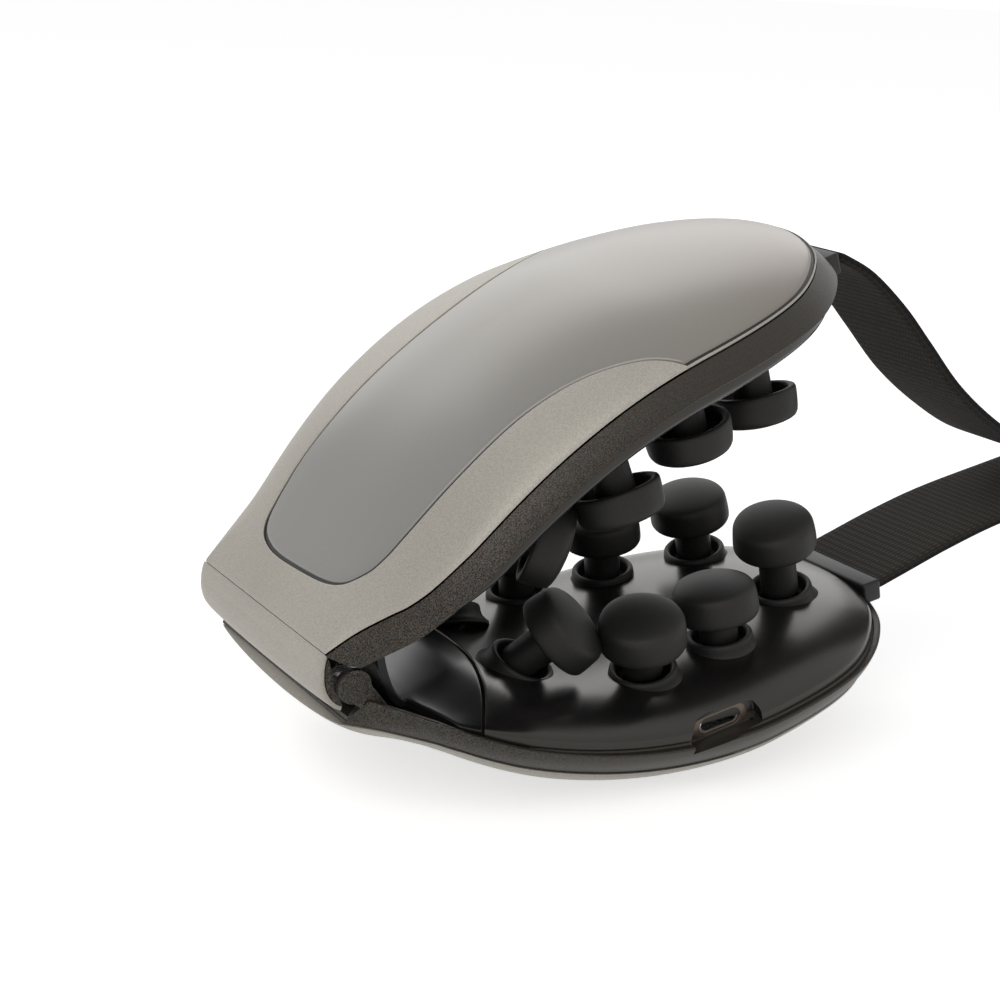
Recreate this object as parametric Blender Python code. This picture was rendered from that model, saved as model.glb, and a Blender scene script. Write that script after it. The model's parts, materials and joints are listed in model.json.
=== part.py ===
"""Foldable kneading eye massager, resting on its lower lobe with the upper lobe folded over it.

World frame: +Z up, X from the nose hinge to the temples, Y along the hinge from the cheek edge to
the forehead edge, origin at the centre of the small flat under the lower front panel.

Each lobe is drawn in a lobe frame: origin on the hinge axis at its cheek end, X to the temple,
Y along the axis, Z towards the face. The upper lobe is the lower one mirrored in Z.
"""

import math

import bmesh
import bpy
from mathutils import Matrix, Vector

# How the object rests and how far it is folded
REST_LEAN = math.radians(12.0)
FOLD_AT_REST = math.radians(7.82)
REST_CUT = 0.0008
REST_STEPS = 79
CREASE = math.radians(38.0)

# Fits
GAP = 0.0003
RUNNING_GAP = 0.0004
OVERRUN = 0.03

# Lobe outline: reach from the hinge axis to the temple, and width from cheek to forehead
LOBE_REACH = 0.1223
LOBE_WIDTH = 0.0852
CENTRE_X = 0.058
CENTRE_Y = 0.027
FACE_EDGE_SHARES = (
    (0.013, -0.019), (0.041, -0.056), (0.078, -0.106), (0.119, -0.148), (0.168, -0.177),
    (0.229, -0.190), (0.442, -0.200), (0.646, -0.188), (0.814, -0.121), (0.928, 0.018),
    (0.984, 0.176), (1.000, 0.329), (0.980, 0.493), (0.904, 0.646), (0.752, 0.755),
    (0.540, 0.800), (0.311, 0.786), (0.123, 0.732), (0.013, 0.678))
SHELL_EDGE_SHARES = (
    (-0.021, 0.012), (0.023, -0.016), (0.062, -0.056), (0.106, -0.106), (0.159, -0.140),
    (0.229, -0.157), (0.442, -0.166), (0.638, -0.155), (0.798, -0.093), (0.907, 0.038),
    (0.961, 0.183), (0.976, 0.329), (0.957, 0.481), (0.886, 0.622), (0.744, 0.723),
    (0.540, 0.767), (0.313, 0.752), (0.128, 0.701), (-0.021, 0.653))
PANEL_EDGE_SHARES = (
    (0.621, -0.235), (0.548, -0.133), (0.505, -0.092), (0.436, -0.052), (0.356, -0.028),
    (0.245, -0.012), (0.150, 0.014), (0.082, 0.054), (0.049, 0.123), (0.039, 0.282),
    (0.041, 0.423), (0.065, 0.500), (0.131, 0.526), (0.245, 0.519), (0.392, 0.509),
    (0.507, 0.528), (0.605, 0.575), (0.687, 0.657), (0.752, 0.822), (1.104, 0.728),
    (1.104, -0.164))
EDGE_STEPS = 6
SPOKES = 28
SPOKE_SPACING = math.radians(3.0)
CORNER_SPACING = math.radians(4.0)
HINGE_SPOKE_SHARES = (0.2, 0.4, 0.6, 0.8)
CORNER_TURNS = (-2, -1, 1, 2)
TURN_STEPS = 1440
SEAM_STEPS = 200
NEAR_SHARE = 0.000001
LARGEST_SLANT_SHARE = 2.6

# Lobe levels: the face edge falls from the nose to the temple along a parabola
NOSE_LEVEL = -0.0074
TEMPLE_LEVEL = -0.0284
NOSE_BEND = 0.0106
TEMPLE_BEND = 0.0756
NOSE_SLOPE_SHARE = 0.5

# Outer shell and front panel
WALL_HEIGHT = 0.0049
NOSE_WALL_START = 0.0140
NOSE_WALL_RUN = 0.0160
NOSE_WALL_SHARE = 0.28
DOME_HEIGHT = 0.00784
DOME_POWER = 2.4
DOME_SQUARENESS = 0.67
SHELL_WALL = 0.0020
SHELL_FLOOR = 0.0012
PANEL_THICKNESS = 0.0012
PANEL_LIP = 0.0009
PANEL_SEAT_GAP = 0.0005
PANEL_CHAMFER = 0.0004

# Inner housing and face pad
PAD_RISE = 0.0080
PAD_POWER = 4.0
PAD_SQUARENESS = 0.6
PAD_RISE_START = 0.0050
PAD_RISE_RUN = 0.0230
PAD_THICKNESS = 0.0018
PAD_ROUNDING = 0.0005
HOUSING_LIP = 0.0014
HOUSING_BEVEL = 0.0003
HOUSING_BULGE = 0.0003
HOUSING_WALL = 0.0016
DECK_THICKNESS = 0.0014
SEAM_FRONT = 0.0300
SEAM_DEPTH = 0.0120
SEAM_HALF_WIDTH = 0.0380

# Rings of the dished pieces, as shares of the way from the middle to the edge
DISH_SHARES = (0.45, 0.77, 0.93)
RIM_SHARES = (0.35, 0.7, 0.9)

# Hinge
BARREL_CLEARANCE = 0.0062
SWEEP_CLEARANCE = 0.0066
BARREL_NEAR = 0.0006
BARREL_FAR = 0.0564
SPINE_RADIUS = 0.0050
SPINE_SHARES = (1.52, 1.37, 1.24, 1.14, 1.07, 1.03, 1.01, 1.0, 1.0, 1.0)
SPINE_WALL = 0.0008
SPINE_START = math.radians(246.0)
SPINE_SWEEP = math.radians(118.0)
KNUCKLE_RADIUS = 0.0033
KNUCKLE_INSET = 0.0024
PIN_RADIUS = 0.0013
PIN_OVERHANG = 0.0012
LUG_RADIUS = 0.0031
LUG_THICKNESS = 0.0015
LUG_ARM = 0.0075
LUG_ARM_WIDTH = 0.0034
LUG_ARM_ANGLE = math.radians(-58.0)
LUG_START = math.radians(45.0)
LUG_SWEEP = math.radians(270.0)
END_CAP_RADIUS = 0.0023
END_CAP_THICKNESS = 0.0009
LEAF_REACH = 0.0200
LEAF_THICKNESS = 0.0010
LEAF_GAP = 0.0004
LEAF_START = 0.0052
LEAF_STEPS = 4
KNUCKLE_STEPS = 14
WEB_INNER_ANGLE = math.radians(-60.0)
WEB_OUTER_ANGLE = math.radians(265.0)
WEB_INNER_SHARES = (1.09, -2.48)
WEB_OUTER_SHARES = (0.70, -2.62)
WEB_SLOT_SHARES = (-0.20, 1.24, 1.90)
SCREW_RADIUS = 0.0011
SCREW_LENGTH = 0.0012
SCREW_HEAD_RADIUS = 0.0020
SCREW_HEAD_HEIGHT = 0.0008
SCREW_X = 0.0150
SCREW_INSET = 0.0130
LINER_THICKNESS = 0.0016
LINER_THROAT = 0.0070
LINER_TURN_X = 0.0095
LINER_STEPS = 4
LINER_TURN_STEPS = 7
LINER_ROWS = 11
LINER_SIDE = 1.0

# Kneading heads: eight on a rounded ring round the eye, and how far each cap stands from its foot
RING_CENTRE_X = 0.0680
RING_CENTRE_Y = 0.0260
RING_HALF_LENGTH = 0.0320
RING_HALF_WIDTH = 0.0245
HEAD_PLACE_SHARES = (
    (-1.00, -0.70), (-0.32, -1.00), (0.30, -0.85), (1.00, -0.42),
    (0.97, 0.75), (0.32, 0.90), (-0.30, 0.96), (-0.97, 0.50))
HEAD_RISE = 0.0122
CAP_OFFSET_SHARES = (
    (0.45, -0.95, 0.62), (-0.05, -0.20, 0.89), (-0.02, -0.01, 0.80), (-0.17, -0.20, 1.24),
    (-0.10, -0.12, 1.02), (0.0, -0.12, 0.98), (0.06, -0.12, 0.98), (0.44, 0.78, 0.66))
COLLAR_LEAN_SHARE = 0.6
PIVOT_DEPTH = 0.0028
NECK_START = 0.0022
NECK_FULL = 0.0028
NECK_TOP = 0.0036
NECK_RADIUS = 0.0032
STEM_RADIUS = 0.0037
CAP_RADIUS = 0.00825
CAP_TAPER = 0.0004
CAP_BASE = 0.0035
CAP_WALL_HEIGHT = 0.0048
CAP_HEIGHT = 0.0071
CAP_WALL = 0.0015
CAP_CUP_DEPTH = 0.0030
CAP_ROUND_SHARES = ((0.93, 0.35), (0.72, 0.72), (0.40, 0.93))
TAIL_RADIUS = 0.0018
TAIL_OVERHANG = 0.0005
HEAD_SEGMENTS = 10
COLLAR_RADIUS = 0.0065
COLLAR_WELL_RADIUS = 0.0052
COLLAR_RISE = 0.0020
COLLAR_ROOT = 0.0012
COLLAR_SEGMENTS = 10

# Kneading drive
PLATE_THICKNESS = 0.0014
PLATE_TOP = -0.0296
PLATE_BEND_X = 0.0560
PLATE_SLOPE_SHARE = 0.21
PLATE_HALF_BAND = 0.0046
PLATE_BAR_HALF_WIDTH = 0.0046
PLATE_BAR_STEP = 0.0004
PLATE_TRAVEL = 0.0009
WHEEL_X = 0.0630
WHEEL_Y = 0.0270
WHEEL_RADIUS = 0.0072
WHEEL_TEETH = 16
WHEEL_BOTTOM = -0.0350
WHEEL_THICKNESS = 0.0024
WHEEL_BORE_DEPTH = 0.0016
TOOTH_DEPTH = 0.0012
TOOTH_SHARES = ((0.0, 0.0), (0.25, 0.0), (0.38, 1.0), (0.87, 1.0))
AXLE_RADIUS = 0.0013
AXLE_FOOT_RADIUS = 0.0028
CRANK_THROW = 0.0012
CRANK_RADIUS = 0.0011
CRANK_HEIGHT = 0.0023
CRANK_ROOT = 0.0004
WORM_LENGTH = 0.0090
WORM_RADIUS = 0.0020
WORM_THREAD = 0.0006
WORM_TURNS = 3.0
WORM_RINGS = 19
WORM_SEGMENTS = 8
WORM_BORE = 0.0008
MOTOR_RADIUS = 0.0029
MOTOR_LENGTH = 0.0160
MOTOR_BOSS_RADIUS = 0.0014
MOTOR_BOSS_LENGTH = 0.0007
MOTOR_SHAFT_RADIUS = 0.0005
MOTOR_CHAMFER = 0.0004

# Power and controls, in the lower lobe
BATTERY_LENGTH = 0.0220
BATTERY_WIDTH = 0.0160
BATTERY_HEIGHT = 0.0034
BATTERY_X = 0.0835
BATTERY_Y = 0.0205
BATTERY_BOTTOM = -0.0354
BATTERY_ROUNDING = 0.0016
CORNER_STEPS = 3
BOARD_LENGTH = 0.0280
BOARD_WIDTH = 0.0060
BOARD_THICKNESS = 0.0010
BOARD_Y = -0.0072
PORT_X = 0.0643
PORT_LEVEL = -0.0259
PORT_WIDTH = 0.0089
PORT_HEIGHT = 0.0032
PORT_DEPTH = 0.0065
PORT_WALL = 0.0005
PORT_FACE_Y = -0.0123
TONGUE_THICKNESS = 0.0007
TONGUE_WIDTH = 0.0066
TONGUE_INSET = 0.0008
RECESS_NOSE_SIDE = 0.0556
RECESS_TEMPLE_SIDE = 0.0720
RECESS_FLARE = 0.0030
RECESS_TOP = -0.0233
RECESS_BOTTOM = -0.0280
PORT_BLOCK_MARGIN = 0.0012
PORT_BLOCK_TOP = -0.0267
PORT_BLOCK_BOTTOM = -0.0292
PORT_BLOCK_NEAR = -0.0148
PORT_BLOCK_FAR = -0.0050
BUTTON_X = 0.0560
BUTTON_LEVEL = -0.0281
BUTTON_LENGTH = 0.0110
BUTTON_HEIGHT = 0.0026
BUTTON_DEPTH = 0.0056
BUTTON_PROUD = 0.0007
BUTTON_FLANGE = 0.0008
BUTTON_FLANGE_HEIGHT = 0.0001
BUTTON_FLANGE_THICKNESS = 0.0006
BUTTON_SEGMENTS = 6

# Head strap: its middle line from the upper temple, out beyond the lobes, and back to the lower one
STRAP_WIDTH = 0.0260
STRAP_THICKNESS = 0.0018
STRAP_END_X = 0.1206
STRAP_STRAIGHT_X = 0.1246
STRAP_LEVEL = -0.0270
STRAP_PATH_SHARES = (
    (1.038, 0.312), (1.098, 0.240), (1.145, 0.168), (1.206, 0.074), (1.284, -0.012),
    (1.374, -0.086), (1.488, -0.135), (1.640, -0.1423), (1.815, -0.1423), (1.852, -0.1640),
    (1.815, -0.1864), (1.640, -0.1864), (1.455, -0.187), (1.284, -0.189), (1.169, -0.199),
    (1.071, -0.213))
STRAP_STEPS = 2
ANCHOR_X = 0.1203
ANCHOR_LENGTH = 0.0044
ANCHOR_HEIGHT = 0.0044
ANCHOR_MARGIN = 0.0020
SLIDER_X = 0.2070
SLIDER_LENGTH = 0.0110
SLIDER_WALL = 0.0012
STRAP_UPPER_LEVEL = -0.0174
STRAP_LOWER_LEVEL = -0.0228

ALONG_X = Matrix(((0, 0, 1, 0), (1, 0, 0, 0), (0, 1, 0, 0), (0, 0, 0, 1)))
ALONG_Y = Matrix(((1, 0, 0, 0), (0, 0, 1, 0), (0, 1, 0, 0), (0, 0, 0, 1)))
UP = Vector((0, 0, 1))

# Finishes: colour, metallic and roughness
CHAMPAGNE = ("champagne_shell", (0.40, 0.37, 0.32), 0.35, 0.48)
SMOKY = ("smoky_panel", (0.30, 0.275, 0.245), 0.55, 0.30)
BRONZE = ("dark_bronze", (0.045, 0.038, 0.030), 0.40, 0.42)
PAD_BLACK = ("satin_black_pad", (0.012, 0.012, 0.013), 0.0, 0.36)
LINER_BLACK = ("glossy_black_liner", (0.010, 0.010, 0.010), 0.0, 0.22)
SILICONE = ("charcoal_silicone", (0.022, 0.022, 0.023), 0.0, 0.60)
WEBBING = ("dark_elastic", (0.022, 0.021, 0.021), 0.0, 0.85)
STEEL = ("bright_steel", (0.55, 0.55, 0.55), 1.0, 0.30)
NYLON = ("white_nylon", (0.70, 0.68, 0.62), 0.0, 0.50)
CELL = ("silver_cell", (0.50, 0.51, 0.53), 0.8, 0.40)
LAMINATE = ("green_board", (0.02, 0.12, 0.05), 0.0, 0.45)
FINISHES = (CHAMPAGNE, SMOKY, BRONZE, PAD_BLACK, LINER_BLACK, SILICONE, WEBBING, STEEL, NYLON, CELL,
            LAMINATE)


def clear_scene():
    for obj in list(bpy.data.objects):
        bpy.data.objects.remove(obj, do_unlink=True)


def make_material(name, color, metallic, roughness):
    material = bpy.data.materials.new(name)
    material.use_nodes = True
    shader = material.node_tree.nodes["Principled BSDF"]
    shader.inputs["Base Color"].default_value = (*color, 1.0)
    shader.inputs["Metallic"].default_value = metallic
    shader.inputs["Roughness"].default_value = roughness
    material.diffuse_color = (*color, 1.0)
    return material


class Lobe:
    """One half of the massager: its frame empty, its side up, and the room round its barrel."""

    def __init__(self, name, lean, place, mirrored):
        self.name = name
        self.sign = -1.0 if mirrored else 1.0
        self.barrel = BARREL_CLEARANCE if mirrored else SWEEP_CLEARANCE
        self.frame = bpy.data.objects.new(name + "_lobe_frame", None)
        self.frame.location = place
        self.frame.rotation_euler = (0.0, -lean, 0.0)
        bpy.context.collection.objects.link(self.frame)


def finish(name, bm, finish_of, lobe, origin=(0.0, 0.0, 0.0), smooth=True):
    """Turn a drawn body into an object of the lobe, with its own origin at the given place."""
    origin = Vector(origin)
    for vert in bm.verts:
        vert.co = vert.co - origin
        vert.co.z = vert.co.z * lobe.sign
    origin.z = origin.z * lobe.sign
    bm.normal_update()
    bmesh.ops.recalc_face_normals(bm, faces=bm.faces)
    for face in bm.faces:
        face.smooth = smooth
    for edge in bm.edges:
        edge.smooth = edge.calc_face_angle(0.0) < CREASE
    mesh = bpy.data.meshes.new(name)
    bm.to_mesh(mesh)
    bm.free()
    mesh.materials.append(bpy.data.materials[finish_of[0]])
    obj = bpy.data.objects.new(name, mesh)
    bpy.context.collection.objects.link(obj)
    obj.parent = lobe.frame
    obj.location = origin
    return obj


def make_cutter(name, bm, lobe):
    cutter = finish(name, bm, BRONZE, lobe)
    cutter.hide_render = True
    cutter.display_type = "WIRE"
    return cutter


def combine(obj, cutter, operation, solver="EXACT"):
    modifier = obj.modifiers.new(cutter.name, "BOOLEAN")
    modifier.operation = operation
    modifier.solver = solver
    modifier.object = cutter


def add_rings(bm, rings):
    """Skin a closed body over rings of points; a ring of one point closes an end."""
    rows = [[bm.verts.new(point) for point in ring] for ring in rings]
    for lower, upper in zip(rows, rows[1:]):
        count = max(len(lower), len(upper))
        for i in range(count):
            j = (i + 1) % count
            corners = [lower[i % len(lower)], lower[j % len(lower)]]
            corners += [upper[j % len(upper)], upper[i % len(upper)]]
            bm.faces.new(list(dict.fromkeys(corners)))


def add_prism(bm, outline, start, end, matrix=Matrix()):
    low = [bm.verts.new(matrix @ Vector((a, b, start))) for a, b in outline]
    high = [bm.verts.new(matrix @ Vector((a, b, end))) for a, b in outline]
    bm.faces.new(low)
    bm.faces.new(high)
    for i in range(len(outline)):
        j = (i + 1) % len(outline)
        bm.faces.new((low[i], low[j], high[j], high[i]))


def add_box(bm, centre, size):
    matrix = Matrix.Translation(Vector(centre)) @ Matrix.Diagonal((*size, 1.0))
    bmesh.ops.create_cube(bm, size=1.0, matrix=matrix)


def circle(radius, height, segments, matrix):
    turns = [math.tau * i / segments for i in range(segments)]
    return [matrix @ Vector((radius * math.cos(t), radius * math.sin(t), height)) for t in turns]


def add_lathe(bm, profile, segments, matrix=Matrix()):
    """Turn a profile of (radius, height) about the matrix's Z axis, closed at both ends."""
    rings = []
    for radius, height in profile:
        if radius > 0.0:
            rings.append(circle(radius, height, segments, matrix))
        else:
            rings.append([matrix @ Vector((0.0, 0.0, height))])
    add_rings(bm, rings)


def add_rod(bm, radius, start, end, segments, matrix=Matrix()):
    add_lathe(bm, ((0.0, start), (radius, start), (radius, end), (0.0, end)), segments, matrix)


def aim(place, direction):
    """Frame at a place whose Z axis points in a direction, without twist."""
    return Matrix.Translation(Vector(place)) @ UP.rotation_difference(direction).to_matrix().to_4x4()


def spline(points, steps):
    """An open smooth curve through the points."""
    ends = [points[0], *points, points[-1]]
    curve = []
    for a, b, c, d in zip(ends, ends[1:], ends[2:], ends[3:]):
        for step in range(steps):
            t = step / steps
            curve.append(tuple(
                0.5 * (2 * q + (r - p) * t + (2 * p - 5 * q + 4 * r - s) * t * t
                       + (3 * q - p - 3 * r + s) * t * t * t)
                for p, q, r, s in zip(a, b, c, d)))
    curve.append(tuple(points[-1]))
    return curve


def trace(shares):
    return spline([(x * LOBE_REACH, y * LOBE_WIDTH) for x, y in shares], EDGE_STEPS)


def reach(outline, angle):
    """Distance from the lobe's middle to a closed outline in one direction."""
    along = (math.cos(angle), math.sin(angle))
    hits = []
    for a, b in zip(outline, outline[1:] + outline[:1]):
        side = (b[0] - a[0], b[1] - a[1])
        back = (a[0] - CENTRE_X, a[1] - CENTRE_Y)
        cross = along[0] * side[1] - along[1] * side[0]
        if cross == 0.0:
            continue
        share = (back[0] * along[1] - back[1] * along[0]) / cross
        distance = (back[0] * side[1] - back[1] * side[0]) / cross
        if distance > 0.0 and -NEAR_SHARE <= share <= 1.0 + NEAR_SHARE:
            hits.append(distance)
    return min(hits)


def angle_of(point):
    return math.atan2(point[1] - CENTRE_Y, point[0] - CENTRE_X)


def seam_x(y):
    offset = (y - CENTRE_Y) / SEAM_HALF_WIDTH
    return SEAM_FRONT - SEAM_DEPTH * offset * offset


def seam_reach(angle, limit):
    """Distance to the seam between pad and liner, or the limit where the seam is not met."""
    for i in range(1, SEAM_STEPS):
        distance = limit * i / SEAM_STEPS
        point = (CENTRE_X + distance * math.cos(angle), CENTRE_Y + distance * math.sin(angle))
        if point[0] < seam_x(point[1]):
            return distance
    return limit


def clamp(value):
    return min(1.0, max(0.0, value))


def edge_level(x):
    share = clamp((x - NOSE_BEND) / (TEMPLE_BEND - NOSE_BEND))
    level = TEMPLE_LEVEL + (NOSE_LEVEL - TEMPLE_LEVEL) * (1.0 - share) ** 2
    return level + NOSE_SLOPE_SHARE * max(0.0, NOSE_BEND - x)


def shell_level(x):
    growth = 1.0 + NOSE_WALL_SHARE * clamp((NOSE_WALL_START - x) / NOSE_WALL_RUN)
    return edge_level(x) - WALL_HEIGHT * growth


def face_level(x, share):
    """Height of the pad's surface; the share is 0 at the middle and 1 at the face edge."""
    ramp = clamp((x - PAD_RISE_START) / PAD_RISE_RUN)
    ramp = ramp * ramp * (3.0 - 2.0 * ramp)
    bulge = max(0.0, 1.0 - share ** PAD_POWER) ** PAD_SQUARENESS
    return edge_level(x) + PAD_RISE * ramp * bulge


def dome_level(x, share):
    """Height of the outer surface; the share is 0 at the middle and 1 at the shell's rim."""
    return shell_level(x) - DOME_HEIGHT * max(0.0, 1.0 - share ** DOME_POWER) ** DOME_SQUARENESS


FACE_EDGE = trace(FACE_EDGE_SHARES)
SHELL_EDGE = trace(SHELL_EDGE_SHARES)
PANEL_EDGE = trace(PANEL_EDGE_SHARES)


def panel_reach(angle):
    return min(reach(SHELL_EDGE, angle) - PANEL_LIP, reach(PANEL_EDGE, angle))


def pad_reach(angle):
    edge = reach(FACE_EDGE, angle) - HOUSING_LIP
    return min(edge, seam_reach(angle, edge)) - GAP


def turning_angles():
    """Directions of the crisp corners of the outlines."""
    angles = [angle_of(p) for p in (FACE_EDGE[0], FACE_EDGE[-1], SHELL_EDGE[0], SHELL_EDGE[-1])]
    turns = [math.tau * i / TURN_STEPS for i in range(TURN_STEPS)]
    for limit, meets in ((lambda a: reach(SHELL_EDGE, a) - PANEL_LIP, panel_reach),
                         (lambda a: reach(FACE_EDGE, a) - HOUSING_LIP - GAP, pad_reach)):
        met = [limit(turn) == meets(turn) for turn in turns]
        corners = [turn for i, turn in enumerate(turns) if met[i] != met[i - 1]]
        angles += corners
        if meets is panel_reach:
            angles += [corner + turn * CORNER_SPACING for corner in corners for turn in CORNER_TURNS]
    return angles


def make_spokes():
    """Directions used by every ring of the dished pieces."""
    spokes = [math.remainder(a, math.tau) for a in turning_angles()]
    length = len(FACE_EDGE)
    for i in range(SPOKES):
        angle = angle_of(FACE_EDGE[round(i * (length - 1) / (SPOKES - 1))])
        if all(abs(math.remainder(angle - other, math.tau)) > SPOKE_SPACING for other in spokes):
            spokes.append(angle)
    for share in HINGE_SPOKE_SHARES:
        y = SHELL_EDGE[0][1] + share * (SHELL_EDGE[-1][1] - SHELL_EDGE[0][1])
        spokes.append(angle_of((SHELL_EDGE[0][0], y)))
    return sorted(spokes)


SPOKE_ANGLES = make_spokes()
FACE_REACH = [reach(FACE_EDGE, a) for a in SPOKE_ANGLES]
SHELL_REACH = [reach(SHELL_EDGE, a) for a in SPOKE_ANGLES]
PANEL_REACH = [panel_reach(a) for a in SPOKE_ANGLES]
PAD_REACH = [pad_reach(a) for a in SPOKE_ANGLES]


def slant_gaps():
    """Gap along each spoke that leaves the right gap square to the panel's slanting outline."""
    gaps = []
    count = len(SPOKE_ANGLES)
    for i in range(count):
        before = i - 1
        after = (i + 1) % count
        sweep = math.remainder(SPOKE_ANGLES[after] - SPOKE_ANGLES[before], math.tau)
        slant = (PANEL_REACH[after] - PANEL_REACH[before]) / (PANEL_REACH[i] * sweep)
        gaps.append(GAP * min(LARGEST_SLANT_SHARE, math.sqrt(1.0 + slant * slant)))
    return gaps


RECESS_REACH = [p + gap for p, gap in zip(PANEL_REACH, slant_gaps())]


def dish_ring(distances, level):
    """One ring of a dished piece: level is called with the place and the spoke's number."""
    ring = []
    for i, (angle, distance) in enumerate(zip(SPOKE_ANGLES, distances)):
        x = CENTRE_X + distance * math.cos(angle)
        y = CENTRE_Y + distance * math.sin(angle)
        ring.append((x, y, level(x, distance, i)))
    return ring


def outer_surface(offset):
    return lambda x, distance, i: dome_level(x, distance / SHELL_REACH[i]) + offset


def face_surface(offset):
    return lambda x, distance, i: face_level(x, distance / FACE_REACH[i]) + offset


def scaled(distances, share):
    return [share * d for d in distances]


def inset(distances, amount):
    return [d - amount for d in distances]


def face_at(x, y):
    angle = angle_of((x, y))
    distance = math.hypot(x - CENTRE_X, y - CENTRE_Y)
    return face_level(x, distance / reach(FACE_EDGE, angle))


def dome_at(x, y):
    angle = angle_of((x, y))
    distance = math.hypot(x - CENTRE_X, y - CENTRE_Y)
    return dome_level(x, distance / reach(SHELL_EDGE, angle))


def rim_top(x, distance, i):
    """The shell's slanted rim, which rises inward from its outer edge."""
    return shell_level(x) + min(SHELL_REACH[i] - distance, SHELL_WALL)


def housing_foot(x, distance, i):
    return rim_top(x, distance, i) + RUNNING_GAP


def recess_floor(x, distance, i):
    """Level of the panel's seat, kept under the slanted rim."""
    seat = dome_level(x, distance / SHELL_REACH[i]) + PANEL_THICKNESS + PANEL_SEAT_GAP
    return min(seat, shell_level(x))


def panel_inside(x, distance, i):
    inside = dome_level(x, distance / SHELL_REACH[i]) + PANEL_THICKNESS
    return min(inside, shell_level(x) - GAP)


def make_front_panel(lobe):
    bm = bmesh.new()
    rings = [[(CENTRE_X, CENTRE_Y, dome_level(CENTRE_X, 0.0))]]
    rings += [dish_ring(scaled(PANEL_REACH, s), outer_surface(0.0)) for s in DISH_SHARES]
    rings.append(dish_ring(inset(PANEL_REACH, PANEL_CHAMFER), outer_surface(0.0)))
    rings.append(dish_ring(PANEL_REACH, outer_surface(PANEL_CHAMFER)))
    rings.append(dish_ring(PANEL_REACH, panel_inside))
    rings += [dish_ring(scaled(PANEL_REACH, s), panel_inside) for s in reversed(DISH_SHARES)]
    rings.append([(CENTRE_X, CENTRE_Y, dome_level(CENTRE_X, 0.0) + PANEL_THICKNESS)])
    add_rings(bm, rings)
    return finish(lobe.name + "_front_panel", bm, SMOKY, lobe)


def cut_rest_flat(panel, lobe, level):
    """Cut the small level flat on which the massager stands."""
    bm = bmesh.new()
    add_box(bm, (0.0, 0.0, level - OVERRUN / 2), (LOBE_REACH, LOBE_REACH, OVERRUN))
    turn = Matrix.Rotation(REST_LEAN, 4, "Y") @ Matrix.Translation(-lobe.frame.location)
    bmesh.ops.transform(bm, matrix=turn, verts=bm.verts)
    combine(panel, make_cutter("rest_flat_cutter", bm, lobe), "DIFFERENCE")


def make_outer_shell(lobe):
    bm = bmesh.new()
    inner_step = PANEL_THICKNESS + PANEL_SEAT_GAP + SHELL_FLOOR
    rings = [[(CENTRE_X, CENTRE_Y, dome_level(CENTRE_X, 0.0) + PANEL_THICKNESS + PANEL_SEAT_GAP)]]
    rings += [dish_ring(scaled(PANEL_REACH, s), recess_floor) for s in DISH_SHARES]
    rings.append(dish_ring(RECESS_REACH, recess_floor))
    rings.append(dish_ring(RECESS_REACH, outer_surface(0.0)))
    for share in RIM_SHARES:
        between = [r + share * (s - r) for r, s in zip(RECESS_REACH, SHELL_REACH)]
        rings.append(dish_ring(between, outer_surface(0.0)))
    rings.append(dish_ring(SHELL_REACH, lambda x, d, i: shell_level(x)))

    def inside(x, distance, i):
        step = inner_step if distance <= PANEL_REACH[i] + SHELL_WALL else SHELL_WALL
        return min(rim_top(x, distance, i), dome_level(x, distance / SHELL_REACH[i]) + step)

    lip = inset(SHELL_REACH, SHELL_WALL)
    step_edge = [min(p + SHELL_WALL, edge - GAP) for p, edge in zip(PANEL_REACH, lip)]
    rings.append(dish_ring(lip, inside))
    rings.append(dish_ring([(a + b) / 2 for a, b in zip(lip, step_edge)], inside))
    rings.append(dish_ring(step_edge, inside))
    rings += [dish_ring(scaled(step_edge, s), inside) for s in reversed(DISH_SHARES)]
    rings.append([(CENTRE_X, CENTRE_Y, dome_level(CENTRE_X, 0.0) + inner_step)])
    add_rings(bm, rings)
    shell = finish(lobe.name + "_outer_shell", bm, CHAMPAGNE, lobe)

    bm = bmesh.new()
    root = dome_at(WHEEL_X, WHEEL_Y) + inner_step - SHELL_FLOOR / 2
    shoulder = WHEEL_BOTTOM - GAP
    tip = shoulder + WHEEL_BORE_DEPTH
    profile = ((0.0, root), (AXLE_FOOT_RADIUS, root), (AXLE_FOOT_RADIUS, shoulder),
               (AXLE_RADIUS, shoulder), (AXLE_RADIUS, tip), (0.0, tip))
    add_lathe(bm, profile, HEAD_SEGMENTS, aim((WHEEL_X, WHEEL_Y, 0.0), UP))
    combine(shell, make_cutter(lobe.name + "_axle_boss", bm, lobe), "UNION")
    bm = bmesh.new()
    add_rod(bm, lobe.barrel, BARREL_NEAR, BARREL_FAR, 2 * HEAD_SEGMENTS, ALONG_Y)
    combine(shell, make_cutter(lobe.name + "_shell_barrel_cutter", bm, lobe), "DIFFERENCE")
    return shell


def head_foot(number):
    along, across = HEAD_PLACE_SHARES[number]
    x = RING_CENTRE_X + RING_HALF_LENGTH * along
    y = RING_CENTRE_Y + RING_HALF_WIDTH * across
    return Vector((x, y, face_at(x, y)))


def head_lean(number):
    """Direction from a head's neck to its cap, and the distance between them."""
    offset = HEAD_RISE * Vector(CAP_OFFSET_SHARES[number]) - (NECK_TOP - PIVOT_DEPTH) * UP
    return offset.normalized(), offset.length


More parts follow.
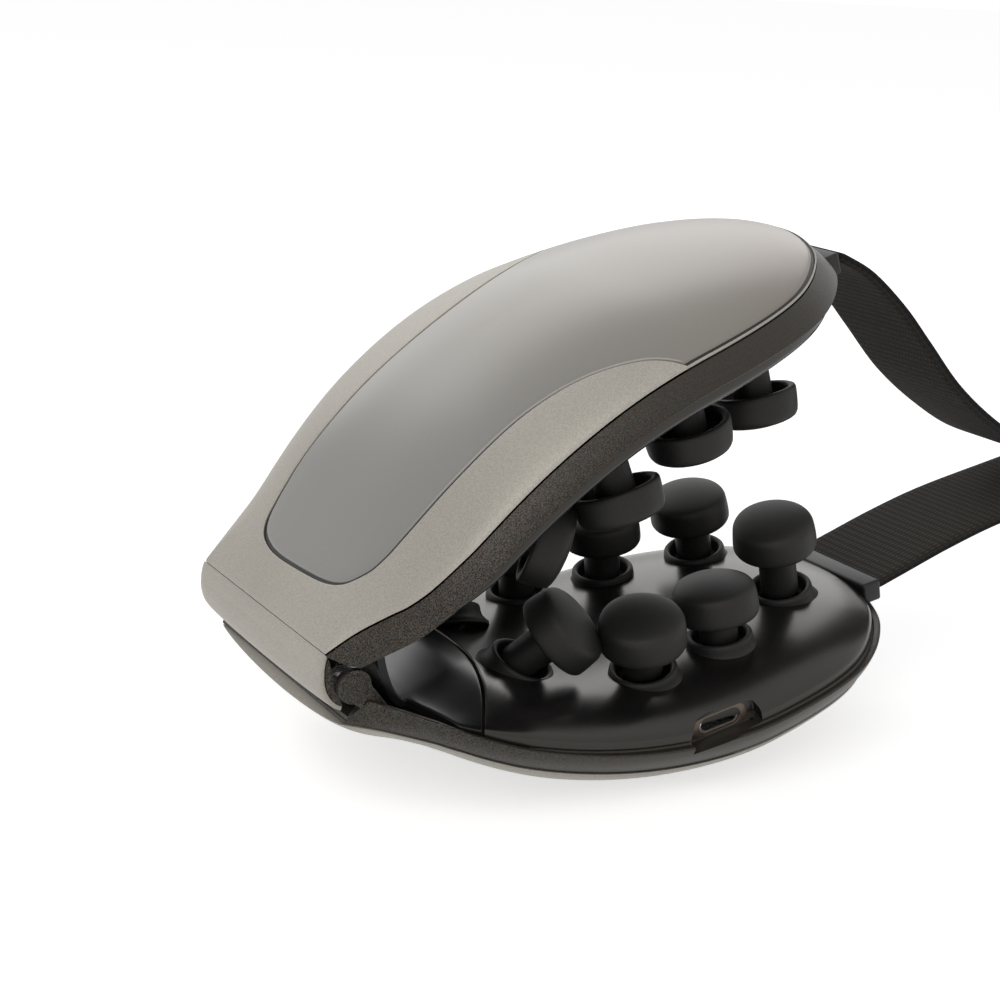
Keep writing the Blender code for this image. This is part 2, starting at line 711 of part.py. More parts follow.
def make_housing(lobe):
    bm = bmesh.new()
    top = face_surface(-PAD_THICKNESS - GAP)
    under = face_surface(-PAD_THICKNESS - GAP - DECK_THICKNESS)
    seat = inset(FACE_REACH, HOUSING_LIP)
    rings = [[(CENTRE_X, CENTRE_Y, face_level(CENTRE_X, 0.0) - PAD_THICKNESS - GAP)]]
    rings += [dish_ring(scaled(seat, s), top) for s in DISH_SHARES]
    rings.append(dish_ring(seat, top))
    rings.append(dish_ring(seat, lambda x, d, i: edge_level(x)))
    rings.append(dish_ring(inset(FACE_REACH, HOUSING_BEVEL), lambda x, d, i: edge_level(x)))
    rings.append(dish_ring(FACE_REACH, lambda x, d, i: edge_level(x) - HOUSING_BEVEL))
    middle = [(f + s) / 2 + HOUSING_BULGE for f, s in zip(FACE_REACH, SHELL_REACH)]
    rings.append(dish_ring(middle, lambda x, d, i: (edge_level(x) + shell_level(x)) / 2))
    rings.append(dish_ring(SHELL_REACH, housing_foot))
    rings.append(dish_ring(inset(SHELL_REACH, HOUSING_WALL), housing_foot))
    rings.append(dish_ring(inset(seat, HOUSING_WALL), under))
    rings += [dish_ring(scaled(seat, s), under) for s in reversed(DISH_SHARES)]
    rings.append([(CENTRE_X, CENTRE_Y, face_level(CENTRE_X, 0.0) - PAD_THICKNESS - GAP - DECK_THICKNESS)])
    add_rings(bm, rings)
    housing = finish(lobe.name + "_inner_housing", bm, BRONZE, lobe)

    bm = bmesh.new()
    for number in range(len(HEAD_PLACE_SHARES)):
        foot_point = head_foot(number)
        low = foot_point.z - PAD_THICKNESS - 2 * DECK_THICKNESS
        add_rod(bm, TAIL_RADIUS + RUNNING_GAP, low - PAD_THICKNESS, foot_point.z + PAD_THICKNESS,
                HEAD_SEGMENTS, aim((foot_point.x, foot_point.y, 0.0), UP))
    add_rod(bm, lobe.barrel, BARREL_NEAR, BARREL_FAR, 2 * HEAD_SEGMENTS, ALONG_Y)
    add_anchor_pocket(bm, ANCHOR_LENGTH + 2 * GAP, GAP)
    combine(housing, make_cutter(lobe.name + "_housing_cutter", bm, lobe), "DIFFERENCE", "MANIFOLD")
    return housing


def add_anchor_pocket(bm, length, margin):
    width = STRAP_WIDTH + 2 * (ANCHOR_MARGIN + margin)
    add_box(bm, (ANCHOR_X, CENTRE_Y, STRAP_LEVEL), (length, width, ANCHOR_HEIGHT + 2 * margin))


def make_face_pad(lobe):
    """Pad with a leaning collar and well for each head, its underside cut to the deck's form."""
    bm = bmesh.new()
    spare = PAD_THICKNESS + PAD_ROUNDING
    rings = [[(CENTRE_X, CENTRE_Y, face_level(CENTRE_X, 0.0))]]
    rings += [dish_ring(scaled(PAD_REACH, s), face_surface(0.0)) for s in DISH_SHARES]
    rings.append(dish_ring(inset(PAD_REACH, PAD_ROUNDING), face_surface(0.0)))
    rings.append(dish_ring(PAD_REACH, face_surface(-PAD_ROUNDING)))
    rings.append(dish_ring(PAD_REACH, face_surface(-spare)))
    rings += [dish_ring(scaled(PAD_REACH, s), face_surface(-spare)) for s in reversed(DISH_SHARES)]
    rings.append([(CENTRE_X, CENTRE_Y, face_level(CENTRE_X, 0.0) - spare)])
    add_rings(bm, rings)
    pad = finish(lobe.name + "_face_pad", bm, PAD_BLACK, lobe)

    collars = bmesh.new()
    wells = bmesh.new()
    for number in range(len(HEAD_PLACE_SHARES)):
        lean = head_lean(number)[0]
        axis = (COLLAR_LEAN_SHARE * lean + (1.0 - COLLAR_LEAN_SHARE) * UP).normalized()
        matrix = aim(head_foot(number), axis)
        root = COLLAR_ROOT + COLLAR_RADIUS * math.hypot(axis.x, axis.y)
        profile = ((0.0, -COLLAR_ROOT), (COLLAR_RADIUS - COLLAR_ROOT, -root),
                   (COLLAR_RADIUS, -COLLAR_ROOT), (COLLAR_RADIUS, COLLAR_RISE - PAD_ROUNDING),
                   (COLLAR_RADIUS - PAD_ROUNDING, COLLAR_RISE), (0.0, COLLAR_RISE))
        add_lathe(collars, profile, COLLAR_SEGMENTS, matrix)
        add_rod(wells, COLLAR_WELL_RADIUS, -2 * COLLAR_RADIUS, 2 * COLLAR_RADIUS, COLLAR_SEGMENTS, matrix)
    combine(pad, make_cutter(lobe.name + "_collars", collars, lobe), "UNION", "MANIFOLD")
    add_anchor_pocket(wells, ANCHOR_LENGTH + 2 * GAP, GAP)
    combine(pad, make_cutter(lobe.name + "_wells", wells, lobe), "DIFFERENCE", "MANIFOLD")
    bm = bmesh.new()
    seat = inset(FACE_REACH, HOUSING_LIP)
    rings = [[(CENTRE_X, CENTRE_Y, face_level(CENTRE_X, 0.0) - PAD_THICKNESS)]]
    rings += [dish_ring(scaled(seat, s), face_surface(-PAD_THICKNESS)) for s in DISH_SHARES]
    rings.append(dish_ring(seat, face_surface(-PAD_THICKNESS)))
    rings.append(dish_ring(seat, face_surface(-OVERRUN)))
    rings.append([(CENTRE_X, CENTRE_Y, face_level(CENTRE_X, 0.0) - OVERRUN)])
    add_rings(bm, rings)
    combine(pad, make_cutter(lobe.name + "_pad_underside", bm, lobe), "DIFFERENCE", "MANIFOLD")
    return pad


def make_head(lobe, number):
    """A silicone kneading head: tail, neck and leaning cap, hung on its pivot in the deck."""
    pivot = head_foot(number) - PIVOT_DEPTH * UP
    tail_tip = plate_top(pivot.x) - PLATE_THICKNESS - TAIL_OVERHANG
    lean, length = head_lean(number)
    upright = aim((pivot.x, pivot.y, 0.0), UP)
    neck = pivot + NECK_TOP * UP
    leaning = aim(neck, lean)
    rings = [[(pivot.x, pivot.y, tail_tip)]]
    for radius, height in ((TAIL_RADIUS, tail_tip), (TAIL_RADIUS, pivot.z + NECK_START),
                           (NECK_RADIUS, pivot.z + NECK_FULL)):
        rings.append(circle(radius, height, HEAD_SEGMENTS, upright))
    bend = aim(neck, (lean + UP).normalized())
    rings.append(circle(STEM_RADIUS, 0.0, HEAD_SEGMENTS, bend))
    rim = length - CAP_BASE
    inner = CAP_RADIUS - CAP_WALL
    profile = [(STEM_RADIUS, rim + CAP_CUP_DEPTH), (inner - CAP_TAPER, rim + CAP_CUP_DEPTH), (inner, rim),
               (CAP_RADIUS, rim), (CAP_RADIUS - CAP_TAPER, rim + CAP_WALL_HEIGHT)]
    for across, up in CAP_ROUND_SHARES:
        profile.append((CAP_RADIUS * across, rim + CAP_WALL_HEIGHT + up * (CAP_HEIGHT - CAP_WALL_HEIGHT)))
    for radius, height in profile:
        rings.append(circle(radius, height, HEAD_SEGMENTS, leaning))
    rings.append([leaning @ Vector((0.0, 0.0, rim + CAP_HEIGHT))])
    bm = bmesh.new()
    add_rings(bm, rings)
    return finish(lobe.name + "_kneading_head_" + str(number + 1), bm, SILICONE, lobe, pivot)


def ring_path(offset):
    """The rounded ring through the feet of the heads, moved outward by an offset."""
    feet = [head_foot(n) for n in range(len(HEAD_PLACE_SHARES))]
    centre = Vector((RING_CENTRE_X, RING_CENTRE_Y, 0.0))
    path = []
    for foot, following in zip(feet, feet[1:] + feet[:1]):
        for point in (foot, (foot + following) / 2):
            arm = point - centre
            arm.z = 0.0
            place = centre + arm.normalized() * (arm.length + offset)
            path.append((place.x, place.y))
    return path


def plate_top(x):
    """The drive plate is level under the eye and rises towards the nose."""
    return PLATE_TOP + PLATE_SLOPE_SHARE * max(0.0, PLATE_BEND_X - x)


def make_drive_plate(lobe):
    bm = bmesh.new()
    rows = []
    for outer, inner in zip(ring_path(PLATE_HALF_BAND), ring_path(-PLATE_HALF_BAND)):
        tops = [(*outer, plate_top(outer[0])), (*inner, plate_top(inner[0]))]
        lows = [(*p, plate_top(p[0]) - PLATE_THICKNESS) for p in (inner, outer)]
        rows.append([bm.verts.new(p) for p in tops + lows])
    for first, second in zip(rows, rows[1:] + rows[:1]):
        for i in range(4):
            j = (i + 1) % 4
            bm.faces.new((first[i], first[j], second[j], second[i]))
    bottom = PLATE_TOP - PLATE_THICKNESS
    plate = finish(lobe.name + "_drive_plate", bm, NYLON, lobe, (WHEEL_X, WHEEL_Y, bottom), smooth=False)

    bm = bmesh.new()
    reach_y = RING_HALF_WIDTH - PLATE_HALF_BAND / 2
    add_box(bm, (WHEEL_X, RING_CENTRE_Y, PLATE_TOP - PLATE_THICKNESS / 2),
            (2 * PLATE_BAR_HALF_WIDTH, 2 * reach_y, PLATE_THICKNESS - PLATE_BAR_STEP))
    combine(plate, make_cutter(lobe.name + "_plate_bar", bm, lobe), "UNION")
    bm = bmesh.new()
    for number in range(len(HEAD_PLACE_SHARES)):
        foot = head_foot(number)
        level = plate_top(foot.x)
        add_rod(bm, TAIL_RADIUS + RUNNING_GAP, level - 2 * PLATE_THICKNESS, level + PLATE_THICKNESS,
                HEAD_SEGMENTS, aim((foot.x, foot.y, 0.0), UP))
    add_rod(bm, CRANK_THROW + CRANK_RADIUS + PLATE_TRAVEL + RUNNING_GAP, bottom - PLATE_THICKNESS,
            PLATE_TOP + PLATE_THICKNESS, COLLAR_SEGMENTS, aim((WHEEL_X, WHEEL_Y, 0.0), UP))
    combine(plate, make_cutter(lobe.name + "_plate_holes", bm, lobe), "DIFFERENCE")
    return plate


def make_worm_wheel(lobe):
    outline = []
    for tooth in range(WHEEL_TEETH):
        for share, height in TOOTH_SHARES:
            angle = math.tau * (tooth + share) / WHEEL_TEETH
            radius = WHEEL_RADIUS - TOOTH_DEPTH * (1.0 - height)
            outline.append((WHEEL_X + radius * math.cos(angle), WHEEL_Y + radius * math.sin(angle)))
    bm = bmesh.new()
    add_prism(bm, outline, WHEEL_BOTTOM, WHEEL_BOTTOM + WHEEL_THICKNESS)
    origin = (WHEEL_X, WHEEL_Y, WHEEL_BOTTOM)
    wheel = finish(lobe.name + "_worm_wheel", bm, NYLON, lobe, origin, smooth=False)

    bm = bmesh.new()
    top = WHEEL_BOTTOM + WHEEL_THICKNESS
    add_rod(bm, CRANK_RADIUS, top - CRANK_ROOT, top + CRANK_HEIGHT, HEAD_SEGMENTS,
            aim((WHEEL_X + CRANK_THROW, WHEEL_Y, 0.0), UP))
    combine(wheel, make_cutter(lobe.name + "_crank_pin", bm, lobe), "UNION")
    bm = bmesh.new()
    add_rod(bm, AXLE_RADIUS + GAP, WHEEL_BOTTOM - WHEEL_THICKNESS, WHEEL_BOTTOM + WHEEL_BORE_DEPTH,
            HEAD_SEGMENTS, aim((WHEEL_X, WHEEL_Y, 0.0), UP))
    combine(wheel, make_cutter(lobe.name + "_wheel_bore", bm, lobe), "DIFFERENCE")
    return wheel


def worm_place():
    return Vector((WHEEL_X, WHEEL_Y + WHEEL_RADIUS + WORM_RADIUS + WORM_THREAD + GAP,
                   WHEEL_BOTTOM + WHEEL_THICKNESS / 2))


def make_worm(lobe):
    """The motor's worm: a helical thread round a bored core."""
    place = worm_place()
    matrix = Matrix.Translation(place) @ ALONG_X
    rings = []
    for ring in range(WORM_RINGS):
        share = ring / (WORM_RINGS - 1)
        height = WORM_LENGTH * (share - 0.5)
        points = []
        for segment in range(WORM_SEGMENTS):
            angle = math.tau * segment / WORM_SEGMENTS
            wave = math.sin(angle - math.tau * WORM_TURNS * share)
            radius = WORM_RADIUS + WORM_THREAD * clamp(0.5 + wave) * min(1.0, ring, WORM_RINGS - 1 - ring)
            points.append(matrix @ Vector((radius * math.cos(angle), radius * math.sin(angle), height)))
        rings.append(points)
    rings.append(circle(WORM_BORE, WORM_LENGTH / 2, WORM_SEGMENTS, matrix))
    rings.append(circle(WORM_BORE, -WORM_LENGTH / 2, WORM_SEGMENTS, matrix))
    bm = bmesh.new()
    rows = [[bm.verts.new(point) for point in ring] for ring in rings]
    for lower, upper in zip(rows, rows[1:] + rows[:1]):
        for i in range(WORM_SEGMENTS):
            j = (i + 1) % WORM_SEGMENTS
            bm.faces.new((lower[i], lower[j], upper[j], upper[i]))
    return finish(lobe.name + "_worm", bm, STEEL, lobe, place)


def make_motor(lobe):
    matrix = Matrix.Translation(worm_place()) @ ALONG_X
    tip = -WORM_LENGTH / 2
    start = WORM_LENGTH / 2 + GAP
    case = start + MOTOR_BOSS_LENGTH
    end = start + MOTOR_LENGTH
    profile = ((0.0, tip), (MOTOR_SHAFT_RADIUS, tip), (MOTOR_SHAFT_RADIUS, start),
               (MOTOR_BOSS_RADIUS, start), (MOTOR_BOSS_RADIUS, case), (MOTOR_RADIUS - MOTOR_CHAMFER, case),
               (MOTOR_RADIUS, case + MOTOR_CHAMFER), (MOTOR_RADIUS, end), (0.0, end))
    bm = bmesh.new()
    add_lathe(bm, profile, HEAD_SEGMENTS, matrix)
    return finish(lobe.name + "_motor", bm, STEEL, lobe)


def make_strap_anchor(lobe):
    bm = bmesh.new()
    add_anchor_pocket(bm, ANCHOR_LENGTH, 0.0)
    anchor = finish(lobe.name + "_strap_anchor", bm, PAD_BLACK, lobe, smooth=False)
    bm = bmesh.new()
    slot_start = STRAP_END_X - GAP
    add_box(bm, (slot_start + ANCHOR_LENGTH / 2, CENTRE_Y, STRAP_LEVEL),
            (ANCHOR_LENGTH, STRAP_WIDTH + 2 * GAP, STRAP_THICKNESS + 2 * GAP))
    combine(anchor, make_cutter(lobe.name + "_anchor_slot", bm, lobe), "DIFFERENCE")
    return anchor


def make_hinge_bracket(lobe, housing):
    """The upper lobe's hinge: a long knuckle, a web past the shell's lip, and a leaf under the deck."""
    near = BARREL_NEAR + KNUCKLE_INSET
    far = BARREL_FAR - KNUCKLE_INSET
    drop = PAD_THICKNESS + GAP + DECK_THICKNESS + LEAF_GAP
    outline = []
    for step in range(KNUCKLE_STEPS + 1):
        angle = WEB_INNER_ANGLE + (WEB_OUTER_ANGLE - WEB_INNER_ANGLE) * step / KNUCKLE_STEPS
        outline.append((KNUCKLE_RADIUS * math.cos(angle), KNUCKLE_RADIUS * math.sin(angle)))
    leaf_top = []
    for step in range(LEAF_STEPS + 1):
        x = LEAF_START + (LEAF_REACH - LEAF_START) * step / LEAF_STEPS
        leaf_top.append((x, min(face_at(x, y) for y in (near, CENTRE_Y, far)) - drop))
    outline.append(tuple(KNUCKLE_RADIUS * share for share in WEB_OUTER_SHARES))
    outline += [(x, z - LEAF_THICKNESS) for x, z in leaf_top]
    outline += reversed(leaf_top)
    outline.append(tuple(KNUCKLE_RADIUS * share for share in WEB_INNER_SHARES))
    bm = bmesh.new()
    add_prism(bm, outline, near, far, ALONG_Y)
    bracket = finish(lobe.name + "_hinge_bracket", bm, STEEL, lobe, smooth=False)
    bm = bmesh.new()
    add_rod(bm, PIN_RADIUS + GAP, near - PIN_OVERHANG, far + PIN_OVERHANG, HEAD_SEGMENTS, ALONG_Y)
    for y in screw_rows():
        add_rod(bm, SCREW_RADIUS + GAP, leaf_under(near, far) - LEAF_THICKNESS, -KNUCKLE_RADIUS,
                HEAD_SEGMENTS, aim((SCREW_X, y, 0.0), UP))
    combine(bracket, make_cutter(lobe.name + "_bracket_holes", bm, lobe), "DIFFERENCE")
    bm = bmesh.new()
    slot_start = KNUCKLE_RADIUS * WEB_SLOT_SHARES[0]
    slot_end = KNUCKLE_RADIUS * WEB_SLOT_SHARES[1]
    slot_drop = KNUCKLE_RADIUS * WEB_SLOT_SHARES[2]
    add_box(bm, ((slot_start + slot_end) / 2, (near + far) / 2, -KNUCKLE_RADIUS - slot_drop / 2),
            (slot_end - slot_start, far - near + 2 * GAP, slot_drop))
    combine(housing, make_cutter(lobe.name + "_web_slot", bm, lobe), "DIFFERENCE", "MANIFOLD")
    return bracket


def screw_rows():
    return (BARREL_NEAR + SCREW_INSET, BARREL_FAR - SCREW_INSET)


def leaf_under(near, far):
    """Level of the bracket leaf's underside at its screws."""
    drop = PAD_THICKNESS + GAP + DECK_THICKNESS + LEAF_GAP + LEAF_THICKNESS
    return min(face_at(SCREW_X, y) for y in (near, CENTRE_Y, far)) - drop


def make_bracket_screw(lobe, number):
    y = screw_rows()[number]
    under = leaf_under(BARREL_NEAR + KNUCKLE_INSET, BARREL_FAR - KNUCKLE_INSET)
    head = under - LEAF_GAP
    bm = bmesh.new()
    add_lathe(bm, ((0.0, head - SCREW_HEAD_HEIGHT), (SCREW_HEAD_RADIUS, head - SCREW_HEAD_HEIGHT),
                   (SCREW_HEAD_RADIUS, head), (SCREW_RADIUS, head), (SCREW_RADIUS, head + SCREW_LENGTH),
                   (0.0, head + SCREW_LENGTH)), HEAD_SEGMENTS, aim((SCREW_X, y, 0.0), UP))
    return finish(lobe.name + "_bracket_screw_" + str(number + 1), bm, STEEL, lobe)


def make_spine_cover(lobe):
    """Curved cover over the barrel, carried by the upper lobe and flush with its shell."""
    outer = []
    inner = []
    for i, share in enumerate(SPINE_SHARES):
        angle = SPINE_START - SPINE_SWEEP * i / (len(SPINE_SHARES) - 1)
        radius = SPINE_RADIUS * share
        outer.append((radius * math.cos(angle), radius * math.sin(angle)))
        radius -= SPINE_WALL
        inner.append((radius * math.cos(angle), radius * math.sin(angle)))
    bm = bmesh.new()
    add_prism(bm, outer + inner[::-1], BARREL_NEAR + GAP, BARREL_FAR - GAP, ALONG_Y)
    return finish("hinge_spine_cover", bm, CHAMPAGNE, lobe)


def add_hinge_lugs(housing, lobe):
    """Ears at both ends of the lower housing that carry the hinge pin."""
    bm = bmesh.new()
    arm = Matrix.Rotation(-LUG_ARM_ANGLE, 4, "Y")
    for inner_y, outward in ((BARREL_NEAR - GAP, -LUG_THICKNESS), (BARREL_FAR + GAP, LUG_THICKNESS)):
        outer_y = inner_y + outward
        outline = []
        for step in range(KNUCKLE_STEPS + 1):
            angle = LUG_START + LUG_SWEEP * step / KNUCKLE_STEPS
            outline.append((LUG_RADIUS * math.cos(angle), LUG_RADIUS * math.sin(angle)))
        outline.append((LUG_ARM, -LUG_ARM_WIDTH / 2))
        outline.append((LUG_ARM, LUG_ARM_WIDTH / 2))
        add_prism(bm, outline, min(inner_y, outer_y), max(inner_y, outer_y), arm @ ALONG_Y)
    combine(housing, make_cutter("hinge_lugs", bm, lobe), "UNION", "MANIFOLD")
    bm = bmesh.new()
    add_rod(bm, PIN_RADIUS + GAP, BARREL_NEAR - OVERRUN / 2, BARREL_FAR + OVERRUN / 2, HEAD_SEGMENTS, ALONG_Y)
    combine(housing, make_cutter("hinge_lug_bores", bm, lobe), "DIFFERENCE", "MANIFOLD")


def make_hinge_pin(lobe):
    bm = bmesh.new()
    add_rod(bm, PIN_RADIUS, BARREL_NEAR - LUG_THICKNESS, BARREL_FAR + LUG_THICKNESS, HEAD_SEGMENTS, ALONG_Y)
    return finish("hinge_pin", bm, STEEL, lobe)


def make_hinge_end_cap(lobe, name, face_y, outward):
    start = face_y + outward * GAP
    end = start + outward * END_CAP_THICKNESS
    bm = bmesh.new()
    add_lathe(bm, ((0.0, start), (END_CAP_RADIUS, start), (END_CAP_RADIUS, end - outward * HOUSING_BEVEL),
                   (END_CAP_RADIUS - HOUSING_BEVEL, end), (0.0, end)), 2 * HEAD_SEGMENTS, ALONG_Y)
    return finish(name, bm, BRONZE, lobe)


def fold_over(point):
    """The same place on the folded upper lobe, in the lower lobe's frame."""
    x, y, z = point
    cosine = math.cos(FOLD_AT_REST)
    sine = math.sin(FOLD_AT_REST)
    return (x * cosine + z * sine, y, x * sine - z * cosine)


def liner_half(y_share):
    """Points of one liner row from the pad's seam to the turn round the hinge."""
    row = []
    end_x = seam_x(CENTRE_Y + SEAM_HALF_WIDTH)
    for step in range(LINER_STEPS + 1):
        share = step / LINER_STEPS
        level_x = end_x + (LINER_TURN_X - end_x) * share
        near, far = liner_edges(level_x)
        y = near + (far - near) * y_share
        seam_near, seam_far = liner_edges(end_x)
        front = seam_x(seam_near + (seam_far - seam_near) * y_share) - GAP
        x = front + (LINER_TURN_X - front) * share
        row.append((x, y, face_at(x, y)))
    return row


def liner_edges(x):
    """Where the liner starts and ends along Y, inside the housing's lip."""
    edge = [p for p in FACE_EDGE if p[0] <= SEAM_FRONT]
    near = [p for p in edge if p[1] < CENTRE_Y]
    far = [p for p in edge if p[1] > CENTRE_Y]
    low = min(near, key=lambda p: abs(p[0] - x))[1] + HOUSING_LIP + 2 * GAP
    high = min(far, key=lambda p: abs(p[0] - x))[1] - HOUSING_LIP - 2 * GAP
    turn = clamp((x - LINER_TURN_X) / LINER_TURN_X)
    near_stop = BARREL_NEAR + (low - BARREL_NEAR) * min(1.0, 2.0 * turn)
    far_stop = BARREL_FAR + (high - BARREL_FAR) * min(1.0, 2.0 * turn)
    return max(low, near_stop), min(high, far_stop)


def make_nose_liner(lobe):
    """Soft liner from one pad's seam round the hinge to the other pad's seam."""
    bm = bmesh.new()
    rows = []
    half = FOLD_AT_REST / 2
    along = Vector((math.cos(half), 0.0, math.sin(half)))
    across = Vector((-math.sin(half), 0.0, math.cos(half)))
    for i in range(LINER_ROWS):
        lower = liner_half(i / (LINER_ROWS - 1))
        last = Vector(lower[-1])
        depth = last.dot(along) - LINER_THROAT
        turn = []
        for step in range(1, LINER_TURN_STEPS):
            angle = math.pi * step / LINER_TURN_STEPS
            place = along * (last.dot(along) - depth * math.sin(angle))
            place += across * (last.dot(across) * math.cos(angle))
            turn.append((place.x, last.y, place.z))
        rows.append([bm.verts.new(p) for p in lower + turn + [fold_over(p) for p in reversed(lower)]])
    for first, second in zip(rows, rows[1:]):
        for j in range(len(first) - 1):
            bm.faces.new((first[j], first[j + 1], second[j + 1], second[j]))
    liner = finish("nose_liner", bm, LINER_BLACK, lobe)
    modifier = liner.modifiers.new("thickness", "SOLIDIFY")
    modifier.thickness = LINER_THICKNESS
    modifier.offset = LINER_SIDE
    return liner


def cut_port_recess(housing, pad, lobe):
    """Block behind the charging port, the arched recess in the cheek side, and the port's pocket."""
    bm = bmesh.new()
    middle = (RECESS_NOSE_SIDE + RECESS_TEMPLE_SIDE) / 2
    length = RECESS_TEMPLE_SIDE - RECESS_NOSE_SIDE - 2 * PORT_BLOCK_MARGIN
    add_box(bm, (middle, (PORT_BLOCK_NEAR + PORT_BLOCK_FAR) / 2, (PORT_BLOCK_TOP + PORT_BLOCK_BOTTOM) / 2),
            (length, PORT_BLOCK_FAR - PORT_BLOCK_NEAR, PORT_BLOCK_TOP - PORT_BLOCK_BOTTOM))
    combine(housing, make_cutter("port_block", bm, lobe), "UNION", "MANIFOLD")

    bm = bmesh.new()
    shoulder = RECESS_TOP - RECESS_FLARE / 2
    arch = ((RECESS_NOSE_SIDE, RECESS_BOTTOM), (RECESS_TEMPLE_SIDE, RECESS_BOTTOM),
            (RECESS_TEMPLE_SIDE, shoulder), (RECESS_TEMPLE_SIDE - RECESS_FLARE / 2, RECESS_TOP),
            (RECESS_NOSE_SIDE + RECESS_FLARE, RECESS_TOP), (RECESS_NOSE_SIDE + RECESS_FLARE / 3, shoulder))
    add_prism(bm, arch, PORT_FACE_Y - OVERRUN, PORT_FACE_Y - GAP, ALONG_Y)
    recess = make_cutter("port_recess", bm, lobe)
    bm = bmesh.new()
    add_box(bm, (PORT_X, PORT_FACE_Y + PORT_DEPTH / 2 - GAP, PORT_LEVEL),
            (PORT_WIDTH + 2 * GAP, PORT_DEPTH + 4 * GAP, PORT_HEIGHT + 2 * GAP))
    pocket = make_cutter("port_pocket", bm, lobe)
    for cutter in (recess, pocket):
        combine(housing, cutter, "DIFFERENCE", "MANIFOLD")
        combine(pad, cutter, "DIFFERENCE", "MANIFOLD")


def stadium(length, height, segments):
    """Outline of a bar with round ends."""
    radius = height / 2
    outline = []
    for side in (1.0, -1.0):
        for step in range(segments + 1):
            angle = math.pi * (step / segments - 0.5)
            along = length / 2 - radius + radius * math.cos(angle)
            outline.append((side * along, side * radius * math.sin(angle)))
    return outline


def shifted(outline, x, z):
    return [(a + x, b + z) for a, b in outline]


def make_usb_port(lobe):
    bm = bmesh.new()
    outline = shifted(stadium(PORT_WIDTH, PORT_HEIGHT, BUTTON_SEGMENTS), PORT_X, PORT_LEVEL)
    add_prism(bm, outline, PORT_FACE_Y, PORT_FACE_Y + PORT_DEPTH, ALONG_Y)
    shell = finish("usb_port_shell", bm, STEEL, lobe)
    bm = bmesh.new()
    outline = stadium(PORT_WIDTH - 2 * PORT_WALL, PORT_HEIGHT - 2 * PORT_WALL, BUTTON_SEGMENTS)
    add_prism(bm, shifted(outline, PORT_X, PORT_LEVEL), PORT_FACE_Y - PORT_WALL,
              PORT_FACE_Y + PORT_DEPTH - PORT_WALL, ALONG_Y)
    combine(shell, make_cutter("usb_opening", bm, lobe), "DIFFERENCE")
    return shell


def make_usb_tongue(lobe):
    start = PORT_FACE_Y + TONGUE_INSET
    end = PORT_FACE_Y + PORT_DEPTH - PORT_WALL - GAP
    bm = bmesh.new()
    add_box(bm, (PORT_X, (start + end) / 2, PORT_LEVEL), (TONGUE_WIDTH, end - start, TONGUE_THICKNESS))
    return finish("usb_tongue", bm, PAD_BLACK, lobe, smooth=False)


def make_circuit_board(lobe):
    top = PORT_BLOCK_BOTTOM - GAP
    bm = bmesh.new()
    add_box(bm, (PORT_X, BOARD_Y, top - BOARD_THICKNESS / 2), (BOARD_LENGTH, BOARD_WIDTH, BOARD_THICKNESS))
    return finish("circuit_board", bm, LAMINATE, lobe, smooth=False)


def make_battery(lobe):
    core_x = BATTERY_LENGTH / 2 - BATTERY_ROUNDING
    core_y = BATTERY_WIDTH / 2 - BATTERY_ROUNDING
    outline = []
    for quarter, (side_x, side_y) in enumerate(((1, 1), (-1, 1), (-1, -1), (1, -1))):
        for step in range(CORNER_STEPS + 1):
            angle = math.tau / 4 * (quarter + step / CORNER_STEPS)
            outline.append((BATTERY_X + side_x * core_x + BATTERY_ROUNDING * math.cos(angle),
                            BATTERY_Y + side_y * core_y + BATTERY_ROUNDING * math.sin(angle)))
    bm = bmesh.new()
    add_prism(bm, outline, BATTERY_BOTTOM, BATTERY_BOTTOM + BATTERY_HEIGHT)
    return finish("battery", bm, CELL, lobe)


def button_wall():
    """Y of the forehead wall's outer surface at the power button."""
    angle = angle_of((BUTTON_X, LOBE_WIDTH))
    top = edge_level(BUTTON_X)
    share = (top - BUTTON_LEVEL) / (top - shell_level(BUTTON_X))
    distance = reach(FACE_EDGE, angle) + share * (reach(SHELL_EDGE, angle) - reach(FACE_EDGE, angle))
    return CENTRE_Y + distance * math.sin(angle)


def make_power_button(lobe, housing):
    face = button_wall() + BUTTON_PROUD
    outline = shifted(stadium(BUTTON_LENGTH, BUTTON_HEIGHT, BUTTON_SEGMENTS), BUTTON_X, BUTTON_LEVEL)
    bm = bmesh.new()
    add_prism(bm, outline, face - BUTTON_DEPTH, face, ALONG_Y)
    button = finish("power_button", bm, SMOKY, lobe, (BUTTON_X, face, BUTTON_LEVEL))
    bm = bmesh.new()
    flange = stadium(BUTTON_LENGTH + 2 * BUTTON_FLANGE, BUTTON_HEIGHT + 2 * BUTTON_FLANGE_HEIGHT,
                     BUTTON_SEGMENTS)
    add_prism(bm, shifted(flange, BUTTON_X, BUTTON_LEVEL), face - BUTTON_DEPTH - GAP,
              face - BUTTON_DEPTH + BUTTON_FLANGE_THICKNESS, ALONG_Y)
    combine(button, make_cutter("button_flange", bm, lobe), "UNION")
    bm = bmesh.new()
    slot = stadium(BUTTON_LENGTH + 2 * GAP, BUTTON_HEIGHT + 2 * GAP, BUTTON_SEGMENTS)
    add_prism(bm, shifted(slot, BUTTON_X, BUTTON_LEVEL), face - 2 * BUTTON_DEPTH, face + BUTTON_DEPTH,
              ALONG_Y)
    combine(housing, make_cutter("button_slot", bm, lobe), "DIFFERENCE", "MANIFOLD")
    return button


